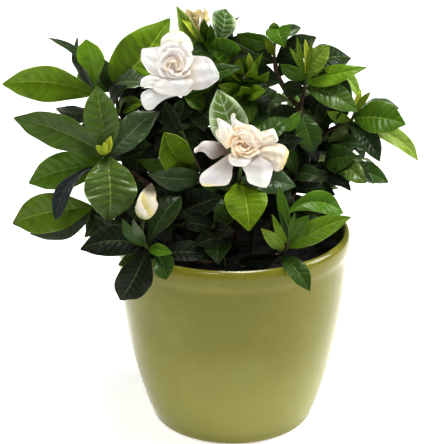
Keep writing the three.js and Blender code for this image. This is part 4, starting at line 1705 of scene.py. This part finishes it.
SHADED = (T.INK, T.INK, T.DARK, T.DARK)
# Inner shoots take near-black and dark tones as painted shade, with little sheen.
SHADED_INSIDE = {"lean": 80, "tones": SHADED, "crown": T.DEEP, "sheen": 0.12}

FILL_SHOOTS = (
    FillShoot("shoot-back-1", (-20, 26), (-92, 48, 214), 3, 50, 41),
    FillShoot("shoot-back-2", (-12, 34), (-60, 82, 192), 3, 46, 10),
    FillShoot("shoot-back-3", (-8, 30), (-38, 62, 254), 3, 48, 1),
    FillShoot("shoot-back-4", (-2, 42), (-6, 106, 200), 3, 42, 16),
    FillShoot("shoot-back-5", (8, 36), (6, 50, 250), 3, 42, 2),
    FillShoot("shoot-back-6", (14, 38), (46, 94, 224), 3, 41, 4),
    FillShoot("shoot-back-7", (16, 26), (62, 42, 254), 3, 40, 57),
    FillShoot("shoot-back-8", (20, 30), (74, 82, 194), 3, 44, 224, small=(0.86,)),
    FillShoot("shoot-back-9", (30, 14), (106, 22, 224), 3, 38, 15),
    FillShoot("shoot-inner-1", (-40, 2), (-64, -2, 236), 3, 46, 170, **SHADED_INSIDE),
    FillShoot("shoot-inner-2", (-30, -10), (-44, -32, 184), 3, 42, 354, **SHADED_INSIDE),
    FillShoot("shoot-inner-3", (12, -6), (26, -18, 236), 3, 46, 66, **SHADED_INSIDE),
    FillShoot("shoot-inner-4", (30, -4), (48, -22, 206), 3, 38, 148, **SHADED_INSIDE),
    FillShoot("shoot-inner-5", (-4, -32), (-14, -52, 176), 2, 40, 275, **SHADED_INSIDE),
)


@dataclass
class Undergrowth:
    """The older leaves that grow in pairs on the woody stems, inside the crown, darkened as painted shade."""

    spots: dict[str, list[tuple[int, float]]]
    length: tuple[float, float] = (26, 42)
    sheen: float = 0.08
    seed: int = 21

    def build(self, foliage: Foliage, wood: WoodyStems) -> None:
        """Models the leaves of each woody stem.

        Args:
            foliage: The blanks and finishes.
            wood: The woody stems.
        """
        draw = random.Random(self.seed)
        for name, spots in self.spots.items():
            leaves = []
            for branch, where in spots:
                leaves += self.pair(foliage, wood.path(name, branch), where, draw)
            piece = Bench.join(name.replace("woody-stem", "inner-leaves"), leaves)
            Bench.weld(piece)
            Bench.thicken(piece, foliage.thickness, 1)
            Bench.smooth(piece)
            Bench.hand_over(piece, "leaf")

    def pair(self, foliage: Foliage, path: Path, where: float, draw: random.Random) -> list[bpy.types.Object]:
        """Bends two leaves that face each other across a stem.

        Args:
            foliage: The blanks and finishes.
            path: The stem's path.
            where: How far along they grow.
            draw: The draws.

        Returns:
            The leaves.
        """
        root, heading = path.at(where), path.way(where)
        flat = heading.cross(Vector((0, -1, 0.3))).normalized()
        first = draw.uniform(-0.9, 0.9)
        leaves = []
        for half in range(2):
            way = flat.copy()
            way.rotate(Quaternion(heading, first + half * math.pi))
            way = (way + heading * draw.uniform(0.3, 0.8)).normalized()
            reach = draw.uniform(*self.length)
            blade = Blade(
                root, root + way * reach, reach * draw.uniform(0.42, 0.52),
                Vector((way.x * 0.3, -0.8, 0.9)).normalized(), draw.uniform(-20, 20), draw.uniform(3, 7),
                foliage.habit(draw), foliage.tint(draw.choice(SHADED), draw), draw.random(), self.sheen,
            )
            leaves.append(foliage.leaf(blade, Detail.MEDIUM))
        return leaves


UNDERGROWTH = Undergrowth({
    "woody-stem-right": [
        (0, 0.36), (0, 0.48), (0, 0.6), (0, 0.72), (0, 0.84), (1, 0.6), (1, 0.9),
        (3, 0.3), (3, 0.8), (4, 0.6),
    ],
    "woody-stem-left": [
        (0, 0.4), (0, 0.55), (0, 0.7), (0, 0.85), (1, 0.3), (1, 0.5), (1, 0.7), (1, 0.9), (2, 0.6), (3, 0.6),
    ],
    "woody-stem-centre": [
        (0, 0.4), (0, 0.52), (0, 0.64), (0, 0.76), (0, 0.88), (1, 0.4), (1, 0.7), (2, 0.4), (2, 0.7),
        (2, 0.95), (3, 0.4), (3, 0.7), (4, 0.7),
    ],
})


@dataclass
class Flesh:
    """What every bloom shares: the petal's blanks and finishes."""

    thickness: float = 0.28

    def __post_init__(self) -> None:
        """Models the blanks and mixes the finishes."""
        self.sheet = Blank("petal-blank", 18, 32)
        # Fresh petals take a small painted glow.
        self.fresh = PetalFinish("fresh petal", 0.25, 0.5, 0.1).material()
        self.dry = PetalFinish("dry petal", 0.6, 0.7).material()

    def petal(
        self, points: np.ndarray, tints: np.ndarray, draw: float, dry: bool = False
    ) -> bpy.types.Object:
        """Bends one petal.

        Args:
            points: Its corners in millimetres.
            tints: A colour for each corner.
            draw: A number that sets its pattern apart.
            dry: Whether it is spent.

        Returns:
            The petal as a sheet.
        """
        petal = self.sheet.cut("petal", points, tints, draw)
        petal.data.materials.append(self.dry if dry else self.fresh)
        return petal

    def shaded(self, tones: Sequence[PetalTone], reach: float = 0.45) -> np.ndarray:
        """Gives each corner of a petal its colour.

        Args:
            tones: The tones at the foot, in the middle and at the tip.
            reach: The share of the length where the foot's tone ends.

        Returns:
            The colours.
        """
        foot, middle, tip = (np.array(paint(tone.value)) for tone in tones)
        low = ease(self.sheet.u, 0.05, reach)[:, None]
        high = ease(self.sheet.u, 0.6, 0.95)[:, None]
        return (foot * (1 - low) + middle * low) * (1 - high) + tip * high

    def finish(self, name: str, petals: list[bpy.types.Object]) -> bpy.types.Object:
        """Gives joined petals their thickness.

        Args:
            name: The piece's name.
            petals: The petals as sheets.

        Returns:
            The piece.
        """
        piece = Bench.join(name, petals)
        Bench.weld(piece)
        Bench.thicken(piece, self.thickness, 0)
        Bench.smooth(piece, 60)
        return piece


@dataclass
class Whorl:
    """A ring of upright petals round the heart, each tucked under the next."""

    count: int
    foot_radius: float
    top_radius: float
    height: float
    span: float
    tones: tuple[PetalTone, PetalTone, PetalTone]
    shift: tuple[float, float]
    flare: float = 2.0
    start: float = 0.0
    point: float = 0.35
    ruffle: float = 0.8


@dataclass
class Petal:
    """A spread petal, drawn by lines across it from its foot to its tip.

    A line is the left and the right edge, sideways and upward from the heart as the bloom is faced, and how
    far the rib and the edges stand out towards the viewer.
    """

    tones: tuple[PetalTone, PetalTone, PetalTone]
    lines: list[tuple[float, float, float, float, float, float]]
    ripple: float = 0.6
    ripples: float = 1.5
    rounding: float = 0.14

    def shape(self, u: np.ndarray, v: np.ndarray, phase: float) -> tuple[np.ndarray, np.ndarray]:
        """Bends a flat grid to the petal.

        Args:
            u: Each corner's share of the length.
            v: Its share of the half width, from -1 to 1.
            phase: Where its ripples start.

        Returns:
            The corners sideways and upward, and how far they stand out.
        """
        u = 1 - (1 - u) ** 1.5
        lines = np.array(self.lines, dtype=float)
        lines = np.vstack([2 * lines[0] - lines[1], lines, 2 * lines[-1] - lines[-2]])
        step = u * (len(self.lines) - 1)
        first = np.minimum(step.astype(int), len(self.lines) - 2)
        t = (step - first)[:, None]
        before, here, after, beyond = (lines[first + i] for i in range(4))
        row = here + 0.5 * t * (after - before + t * (
            2 * before - 5 * here + 4 * after - beyond + t * (3 * (here - after) + beyond - before)
        ))
        end = np.clip((u - 1 + self.rounding) / self.rounding, 0, 1)
        half = (row[:, 2:4] - row[:, 0:2]) / 2 * ((1 - end ** 2.6) ** 0.4)[:, None]
        flat = (row[:, 0:2] + row[:, 2:4]) / 2 + half * v[:, None]
        ripple = np.sin(2 * np.pi * (self.ripples * u + phase) + 2.2 * v) * (0.25 + 0.75 * v ** 2) * u
        pleat = np.sin(2 * np.pi * (1.3 * v + 0.5 * u + 3 * phase)) * np.sin(np.pi * u) * 0.35
        crumple = sum(
            np.sin(2 * np.pi * (i * 1.3 * u + (2 - i) * 0.8 * v + 7 * i * phase)) / i for i in (2, 3, 5)
        ) * 0.3
        lift = row[:, 5] + (row[:, 4] - row[:, 5]) * (1 - v ** 2) + self.ripple * (ripple + pleat + crumple)
        return flat, lift


@dataclass
class Bloom:
    """An open bloom: spread petals round whorls that wrap the heart."""

    name: str
    heart: Place
    petals: list[Petal]
    whorls: list[Whorl]
    throat_tone: PetalTone
    depth: float = 13

    @property
    def centre(self) -> Vector:
        """The middle of the bloom."""
        return seen(self.heart)

    @property
    def out(self) -> Vector:
        """The way that the bloom faces."""
        return (EYE - self.centre).normalized()

    @property
    def foot(self) -> Vector:
        """Where the bloom stands on its calyx."""
        return self.centre - self.out * self.depth

    def calyx(self, foliage: Foliage) -> bpy.types.Object:
        """Models the green cup under the bloom.

        Args:
            foliage: The blanks and finishes.

        Returns:
            The cup.
        """
        start, end = self.foot - self.out * 7.4, self.foot - self.out * 0.2
        cup = Tube(Path([start, (start + end) / 2, end]), 1.6, taper=1.9, swell=0, knots=0, step=0.8)
        return cup.build("calyx", foliage.skin)

    def throat(self, flesh: Flesh) -> bpy.types.Object:
        """Models the tube that the petals stand on.

        Args:
            flesh: The blanks and finishes.

        Returns:
            The tube.
        """
        path = Path([self.foot, self.centre - self.out * 8, self.centre - self.out * 2])
        return Tube(path, 2.4, taper=2.6, swell=0, knots=0, step=0.8).build("tube", flesh.fresh)

    def spread(self, flesh: Flesh, draw: random.Random) -> list[bpy.types.Object]:
        """Bends the spread petals.

        Args:
            flesh: The blanks and finishes.
            draw: The bloom's draws.

        Returns:
            The petals.
        """
        eye, out, centre = np.array(EYE), np.array(self.out), np.array(self.centre)
        petals = []
        for petal in self.petals:
            flat, lift = petal.shape(flesh.sheet.u, flesh.sheet.v, draw.random())
            sight = np.column_stack([
                self.heart[0] + flat[:, 0], np.zeros(len(flat)), self.heart[1] + flat[:, 1]
            ]) - eye
            share = ((centre - eye) @ out) / (sight @ out)
            points = eye + sight * share[:, None] + out * lift[:, None]
            petals.append(flesh.petal(points, flesh.shaded(petal.tones), draw.random()))
        return petals

    def wrap(self, flesh: Flesh, whorl: Whorl, draw: random.Random) -> list[bpy.types.Object]:
        """Bends the upright petals of one whorl.

        Args:
            flesh: The blanks and finishes.
            whorl: The whorl.
            draw: The bloom's draws.

        Returns:
            The petals.
        """
        out = np.array(self.out)
        across = np.array((1.0, 0.0, 0.0))
        upward = np.cross(out, across)
        u, v = flesh.sheet.u, flesh.sheet.v
        petals = []
        for i in range(whorl.count):
            middle = whorl.start + 2 * math.pi * i / whorl.count + draw.uniform(-0.2, 0.2)
            height = whorl.height * draw.uniform(0.85, 1.15)
            flare = whorl.flare * draw.uniform(0.6, 1.4)
            wave = whorl.ruffle * np.sin(draw.uniform(2, 4) * v + 7 * draw.random() + 2 * u)
            angle = middle + math.radians(whorl.span) / 2 * v * (1 - 0.35 * u ** 3)
            radius = whorl.foot_radius + (whorl.top_radius - whorl.foot_radius) * u ** 1.3
            radius = radius + 1.3 * v * (0.3 + 0.7 * u) + flare * ease(u, 0.5, 1.0) ** 1.5
            radius = np.maximum(radius + wave * u ** 2, 0.3)
            level = (height - 1) * u * (1 - whorl.point * v ** 2 * u) + 1
            level = level - 0.5 * flare * ease(u, 0.75, 1.0) ** 2 + 0.4 * wave * u ** 3
            sideways = np.cos(angle) * radius + whorl.shift[0] * u
            upwards = np.sin(angle) * radius + whorl.shift[1] * u
            points = np.array(self.centre) + out * level[:, None]
            points = points + across * sideways[:, None] + upward * upwards[:, None]
            petals.append(flesh.petal(points, flesh.shaded(whorl.tones, 0.75), draw.random()))
        return petals

    def build(self, flesh: Flesh, seed: int) -> None:
        """Models the bloom.

        Args:
            flesh: The blanks and finishes.
            seed: Where its draws start.
        """
        draw = random.Random(seed)
        petals = self.spread(flesh, draw)
        for whorl in self.whorls:
            petals += self.wrap(flesh, whorl, draw)
        sheets = flesh.finish(self.name, petals)
        piece = Bench.join(f"open-{self.name}", [sheets, self.throat(flesh)])
        for corner in piece.data.attributes["Tint"].data:
            if corner.color[0] == 0:
                corner.color = paint(self.throat_tone.value)
        Bench.hand_over(piece, "petal", self.name)


P = PetalTone

WARM = (P.HEART, P.PEACH, P.CREAM)
PURE = (P.SAND, P.SHADE, P.WHITE)
BEIGE = (P.SAND, P.SAND, P.SHADE)

BLOOMS = {
    "bloom-lower": Bloom(
        "bloom-lower", (7, 221, -76),
        [
            Petal((P.CREAM, P.CREAM, P.CREAM), [
                (-11.6, -3.6, -3.9, -0.3, 0, -1), (-16.6, 2.9, -8.5, 6.1, 0, -1),
                (-19.3, 7, -13.1, 11, 0, -1), (-19.9, 11, -17, 12.6, 0, 0),
            ]),
            Petal((P.CREAM, P.WHITE, P.CREAM), [
                (-11.6, -3.6, -2.4, 0.5, 2, 1), (-17, 5.6, -5.5, 9, 2.5, 0.5),
                (-17.3, 12.6, -7.8, 14.4, 2, 0.5), (-18.3, 17.4, -12.9, 18, 1.5, 0.5),
                (-19, 20.6, -17.1, 20.6, 2, 2),
            ]),
            Petal((P.HEART, P.WHITE, P.CREAM), [
                (-6.2, 3.7, 6.8, 3.7, 2, 0), (-8.1, 11.4, 10.2, 10, 1.5, -0.5),
                (-7.8, 16.6, 4.3, 14.8, 1.5, 0.5), (-8.3, 20.8, -4.1, 19.6, 1.5, 1),
                (-7.2, 24.6, -5.3, 24.6, 3, 3),
            ]),
            Petal((P.SAND, P.CREAM, P.WHITE), [
                (6.8, 8, 9.9, -2.8, 1, 0), (12.2, 9.6, 16.1, -2, 2, -0.5), (18, 11.2, 21.3, -0.6, 1, -0.5),
                (23.2, 12.6, 25.6, 1.2, 1.5, -0.5), (25.2, 10.4, 27.6, 3.8, 0, -1),
            ], 0.9, rounding=0.04),
            Petal((P.SAND, P.SAND, P.YELLOW), [
                (9.9, -2.8, 11.5, -10.9, 0.5, -1), (19.1, -0.3, 17.7, -12.6, 2, -1),
                (26.8, 0.9, 22.4, -19.1, 1.5, -2), (32.2, -1.1, 27, -21.6, 0, -3),
                (36.1, -6.4, 31.3, -19.1, -2, -4),
            ], 1.6, 2.4, 0.06),
            Petal((P.GREY, P.WHITE, P.CREAM), [
                (5.5, -8, 15.5, -8, 1, 0), (0.7, -16.9, 23.1, -15.7, 3.5, -0.5),
                (3.1, -23.2, 22.8, -23.2, 2.5, -2), (5, -29.8, 20.9, -29.8, 1, -3.5),
                (10.1, -32.7, 18.6, -34.8, -1, -4.5),
            ], 1.0, rounding=0.05),
            Petal((P.MAUVE_SHADE, P.SHADE, P.YELLOW), [
                (-10.1, -7.7, -3.9, -10.9, 1, -1), (-17.8, -13.8, -7, -18.3, 2.5, -1.5),
                (-25.6, -19.5, -7.4, -24.1, 2, -2.5), (-30.6, -24.1, -8.9, -29, 1, -3.5),
                (-31.8, -29, -11.7, -32.3, 0, -4.5), (-29.5, -33.6, -21, -33.1, -2, -5),
            ], 0.9, rounding=0.06),
            Petal((P.DUSK_SHADE, P.GREY, P.CREAM), [
                (-8.5, -3, -8.5, -7.4, -2, -3), (-17, 1.4, -14.7, -8.7, -2, -5),
                (-23.9, 2.6, -22.4, -11.5, -2, -7), (-29.3, 2.2, -28.6, -6.0, -4, -8),
                (-33.1, -1.5, -33.2, -5.6, -5, -8), (-36.2, -3.6, -35.1, -7.3, -5, -6),
            ], 0.4),
            Petal((P.SAND, P.WHITE, P.WHITE), [
                (-9.5, -7.5, 7.5, -7.5, 0.5, 0), (-10, -10.5, 7.6, -10.5, 4, 3),
                (-9.3, -14, 6.2, -14, 5, 2.5), (-6, -17, 2.5, -17.3, 3, 1),
            ], 0.4, rounding=0.1),
            Petal((P.SAND, P.SAND, P.CREAM), [
                (-1, 5, 4, 0, 7.4, 6.6), (-2.5, 9, 8, -2, 7.2, 5.2), (-0.5, 13, 12.5, -1.5, 6.4, 4),
                (4, 15.5, 15, 4, 4.8, 3.2), (8.5, 15, 14, 10, 3.2, 2.6),
            ], 0.7, 3.2, 0.08),
        ],
        [
            Whorl(5, 6.5, 11.0, 4.2, 86, WARM, (1.6, 1.3), 0.9, 0.3, 0.4, 0.5),
            Whorl(5, 5.0, 9.0, 5.4, 90, WARM, (1.3, 0.9), 0.5, 0.9, 0.3, 0.4),
            Whorl(5, 3.8, 7.0, 6.2, 90, WARM, (0.9, 0.6), 0.4, 0.3, 0.3, 0.3),
            Whorl(4, 2.6, 5.2, 6.8, 108, WARM, (0.5, 0.3), 0.3, 1.1, 0.3, 0.3),
            Whorl(3, 1.5, 3.4, 7.2, 130, WARM, (0.2, 0.1), 0.2, 0.2, 0.3, 0.2),
            Whorl(2, 0.6, 1.7, 7.5, 185, WARM, (0, 0), 0.1, 0.9, 0.2, 0.1),
        ],
        P.HEART,
    ),
    "bloom-upper": Bloom(
        "bloom-upper", (-43, 281, -38),
        [
            Petal((P.SHADE, P.CREAM, P.YELLOW), [
                (-9, 8.9, 11.4, 10.4, 1, 0), (-9.6, 16, 14.2, 13, 2, 0), (-9.4, 20, 13.7, 17.6, 2.5, -0.5),
                (-8, 22.8, 12, 21.6, 2, -1), (-4.6, 25.6, 9, 25, 1, -1.5), (-1.6, 27.6, 5.4, 27.6, 0, -1),
            ], 0.8, rounding=0.08),
            Petal((P.SHADE, P.WHITE, P.WHITE), [
                (-7.8, -12.5, 2, -22, -2, -2), (-13.9, -15, -5.7, -24, -1, -3),
                (-19.2, -17, -11.8, -28, 0, -3), (-23.8, -19.8, -16.2, -32.4, 0, -4),
                (-25.4, -25, -21.4, -33.6, -2, -5),
            ]),
            Petal((P.SHADE, P.WHITE, P.WHITE), [
                (-5.4, -6, -7, -14.5, 1, 0.5), (-12.4, -5.6, -12.5, -15.2, 2, 0.5),
                (-18.6, -6.2, -18.2, -15, 2, 0), (-23.2, -8.6, -23.2, -15.2, 1, -1),
                (-24.6, -11, -25, -14.8, 0, -1.5),
            ], 0.9),
            Petal((P.SHADE, P.WHITE, P.WHITE), [
                (-9.2, -4, 9.7, -4, -0.5, -1), (-14.5, -9, 13.5, -9, 2.5, 0.5),
                (-16.4, -13.6, 15, -13.6, 3, 1), (-14.5, -17.8, 12.5, -18.2, 2, 0),
                (-8.5, -21.2, 8.3, -22.4, 0, -2),
            ], 1.6, 1.2, 0.06),
            Petal((P.SAND, P.SHADE, P.WHITE), [
                (5.3, 8.9, 5.1, -8.3, 1.5, 1), (11.4, 9, 9.6, -15.4, 2, 1.5),
                (18.2, 8.6, 16.4, -17.6, 2, 1), (24.2, 7.8, 23.3, -16.4, 1.5, 0.5),
                (28.6, 4.2, 28.8, -13, 1, 0), (32.6, -3.4, 33.4, -9.2, 0, 0),
            ], 0.9, rounding=0.06),
            Petal((P.SHADE, P.WHITE, P.WHITE), [
                (-5.8, 17, -6.1, -6.5, 1, 0), (-12.2, 15.4, -13, -7, 2, 1), (-17.6, 14.8, -18.2, -4.4, 2, 1),
                (-21, 14.4, -21.4, 0.4, 1, 0.5), (-23.4, 13.8, -24.2, 5.6, 0, 0),
            ], 0.9, rounding=0.04),
        ],
        [
            Whorl(4, 7.8, 12.8, 3.2, 118, PURE, (0.5, 5), 0.6, 0.3, 0.2, 0.5),
            Whorl(4, 5.8, 9.8, 4.0, 118, PURE, (0.4, 3.2), 0.5, 1.2, 0.2, 0.5),
            Whorl(3, 4.0, 6.8, 4.7, 145, BEIGE, (0.3, 1.6), 0.3, 0.5, 0.2, 0.4),
            Whorl(3, 2.3, 4.2, 5.2, 145, BEIGE, (0.2, 0.4), 0.2, 1.5, 0.15, 0.3),
            Whorl(2, 0.9, 2.0, 5.6, 190, BEIGE, (0, -0.4), 0.1, 0.1, 0.15, 0.1),
        ],
        P.SAND,
    ),
}


@dataclass
class Bud:
    """The closed bud: an upright spindle with spiral folds and a dry tip."""

    foot: Place = (-68, 161, -75)
    top: Place = (-61, 190, -74)
    radius: float = 7.5
    foot_radius: float = 2.2
    folds: int = 3
    turns: float = 3.5
    rings: int = 40
    sides: int = 48

    def build(self) -> bpy.types.Object:
        """Models the bud along its own axis and stands it on its shoot.

        Returns:
            The bud.
        """
        foot, top = seen(self.foot), seen(self.top)
        length = (top - foot).length
        Bench.clear()
        bpy.ops.mesh.primitive_circle_add(
            vertices=self.sides, radius=self.foot_radius * MM, fill_type="NGON"
        )
        bud = bpy.context.view_layer.objects.active
        bpy.ops.object.mode_set(mode="EDIT")
        bpy.ops.mesh.select_all(action="SELECT")
        for _ in range(self.rings):
            bpy.ops.mesh.extrude_region_move(
                TRANSFORM_OT_translate={"value": (0, 0, length * MM / self.rings)}
            )
        bpy.ops.mesh.select_all(action="SELECT")
        bpy.ops.mesh.normals_make_consistent(inside=False)
        bpy.ops.object.mode_set(mode="OBJECT")
        turn = (top - foot).to_track_quat("Z", "Y")
        share = bud.data.attributes.new("Share", "FLOAT", "POINT")
        folds = bud.data.attributes.new("Fold", "FLOAT", "POINT")
        for corner in bud.data.vertices:
            along = min(1.0, corner.co.z / (length * MM))
            swell = max(0.0, math.sin(math.pi * along ** 0.68)) ** 0.8
            angle = math.atan2(corner.co.y, corner.co.x)
            wave = (self.folds * (angle / (2 * math.pi) + along * self.turns / (2 * math.pi))) % 1
            fold = 1 + 0.24 * (wave - 0.6) * math.sin(math.pi * along) - 0.05
            reach = max(0.5, (self.radius * swell + 0.6) * fold)
            place = Vector((reach * math.cos(angle), reach * math.sin(angle), along * length))
            corner.co = (foot + turn @ place) * MM
            share.data[corner.index].value = along
            folds.data[corner.index].value = wave
        bud.name = "closed-bud"
        bud.data.materials.append(BudFinish().material())
        Bench.smooth(bud, 60)
        Bench.hand_over(bud, "bud", "bud")
        return bud


@dataclass
class SpentBloom:
    """The spent bloom: shrivelled tan petals on a round neck."""

    foot: Place = (-25, 305, 2)
    tips: tuple[Place, ...] = ((-36, 327, 10), (-22, 328, 15), (-30, 321, 18))
    lean: float = 2.5
    neck: float = 2.2
    neck_height: float = 2.6
    seed: int = 5

    def build(self, flesh: Flesh) -> bpy.types.Object:
        """Models the spent bloom.

        Args:
            flesh: The blanks and finishes.

        Returns:
            The spent bloom.
        """
        draw = random.Random(self.seed)
        foot = seen(self.foot)
        root = foot + Vector((0, 0, self.neck))
        facing = (EYE - foot).normalized()
        petals = []
        for place in self.tips:
            for lean in (-self.lean, self.lean):
                habit = Habit(
                    fold=0.5, wave=0.5, waves=draw.uniform(2, 3.4), phase=draw.random(),
                    twist=draw.uniform(-60, 60), droop=0.05, curl=-0.3, roll=draw.uniform(-0.4, 0.6),
                )
                tip = seen(place) + Vector((lean, lean, -abs(lean)))
                blade = Blade(root, tip, draw.uniform(6, 9), facing, draw.uniform(-30, 30), 2, habit)
                points = blade.shape(flesh.sheet.u, flesh.sheet.v, petal_half)
                petals.append(flesh.petal(points, flesh.shaded((P.TAN, P.TAN, P.TAN)), draw.random(), True))
        sheets = flesh.finish("spent", petals)
        middle = foot + Vector((0, 0, self.neck_height))
        Bench.clear()
        bpy.ops.mesh.primitive_uv_sphere_add(
            segments=20, ring_count=12, radius=self.neck * MM, location=middle * MM
        )
        knob = bpy.context.view_layer.objects.active
        bpy.ops.object.transform_apply(location=True, rotation=True, scale=True)
        knob.data.materials.append(bpy.data.materials["bark"])
        spent = Bench.join("shrivelled-bloom", [sheets, knob])
        Bench.smooth(spent, 60)
        Bench.hand_over(spent, "spent", "spent-bloom")
        return spent


@dataclass
class Studio:
    """The white floor, the soft lights and the camera.

    A lamp is its name, its place in metres, its side in metres and its power in watts.
    """

    lamps: tuple = (
        ("right", (1.0, 0.1, 0.75), 0.5, 13),
        ("left", (-1.2, 0.0, 0.8), 0.5, 5),
        ("top", (0.15, -0.1, 1.6), 0.5, 29),
        ("front", (-0.45, -0.9, 1.5), 0.35, 5),
    )
    aim: tuple[float, float, float] = (0, 0, 0.2)
    backdrop: float = 0.1
    tilt: float = 68.4
    lens: float = 136
    shift: float = -0.037
    gamma: float = 0.85

    def floor(self) -> None:
        """Lays the floor."""
        Bench.clear()
        bpy.ops.mesh.primitive_plane_add(size=12)
        floor = bpy.context.view_layer.objects.active
        floor.name = "floor"
        floor.data.materials.append(FloorFinish().material())

    def lamp(self, name: str, place: tuple[float, float, float], size: float, power: float) -> None:
        """Hangs a soft square lamp that points at the plant.

        Args:
            name: Its name.
            place: Its place in metres.
            size: Its side in metres.
            power: Its power in watts.
        """
        bpy.ops.object.light_add(type="AREA", location=place)
        lamp = bpy.context.view_layer.objects.active
        lamp.name = name
        lamp.data.size = size
        lamp.data.energy = power
        lamp.rotation_euler = (Vector(self.aim) - Vector(place)).to_track_quat("-Z", "Y").to_euler()

    def build(self) -> None:
        """Sets up the studio."""
        self.floor()
        for lamp in self.lamps:
            self.lamp(*lamp)
        world = bpy.data.worlds.new("studio")
        bpy.context.scene.world = world
        world.use_nodes = True
        backdrop = world.node_tree.nodes["Background"]
        backdrop.inputs["Color"].default_value = (1, 1, 1, 1)
        backdrop.inputs["Strength"].default_value = self.backdrop
        eye = [part * MM for part in EYE]
        bpy.ops.object.camera_add(location=eye, rotation=(math.radians(self.tilt), 0, 0))
        camera = bpy.context.view_layer.objects.active
        camera.data.lens = self.lens
        camera.data.shift_x = self.shift
        bpy.context.scene.camera = camera
        view = bpy.context.scene.view_settings
        view.view_transform = "Standard"
        view.gamma = self.gamma


def main() -> None:
    """Builds the pieces in order."""
    logging.basicConfig(level=logging.INFO, format="%(name)s: %(message)s")
    Studio().build()
    pot = Pot()
    pot.build()
    soil = Soil(pot)
    soil.build()
    wood = WoodyStems()
    wood.build()
    foliage = Foliage()
    for seed, shoot in enumerate(SHOOTS):
        shoot.build(foliage, wood, BLOOMS, seed)
    for fill in FILL_SHOOTS:
        fill.build(foliage, soil)
    UNDERGROWTH.build(foliage, wood)
    for blank in foliage.blanks.values():
        blank.drop()
    flesh = Flesh()
    for seed, bloom in enumerate(BLOOMS.values()):
        bloom.build(flesh, seed)
    SpentBloom().build(flesh)
    flesh.sheet.drop()
    Bud().build()


if __name__ == "__main__":
    main()
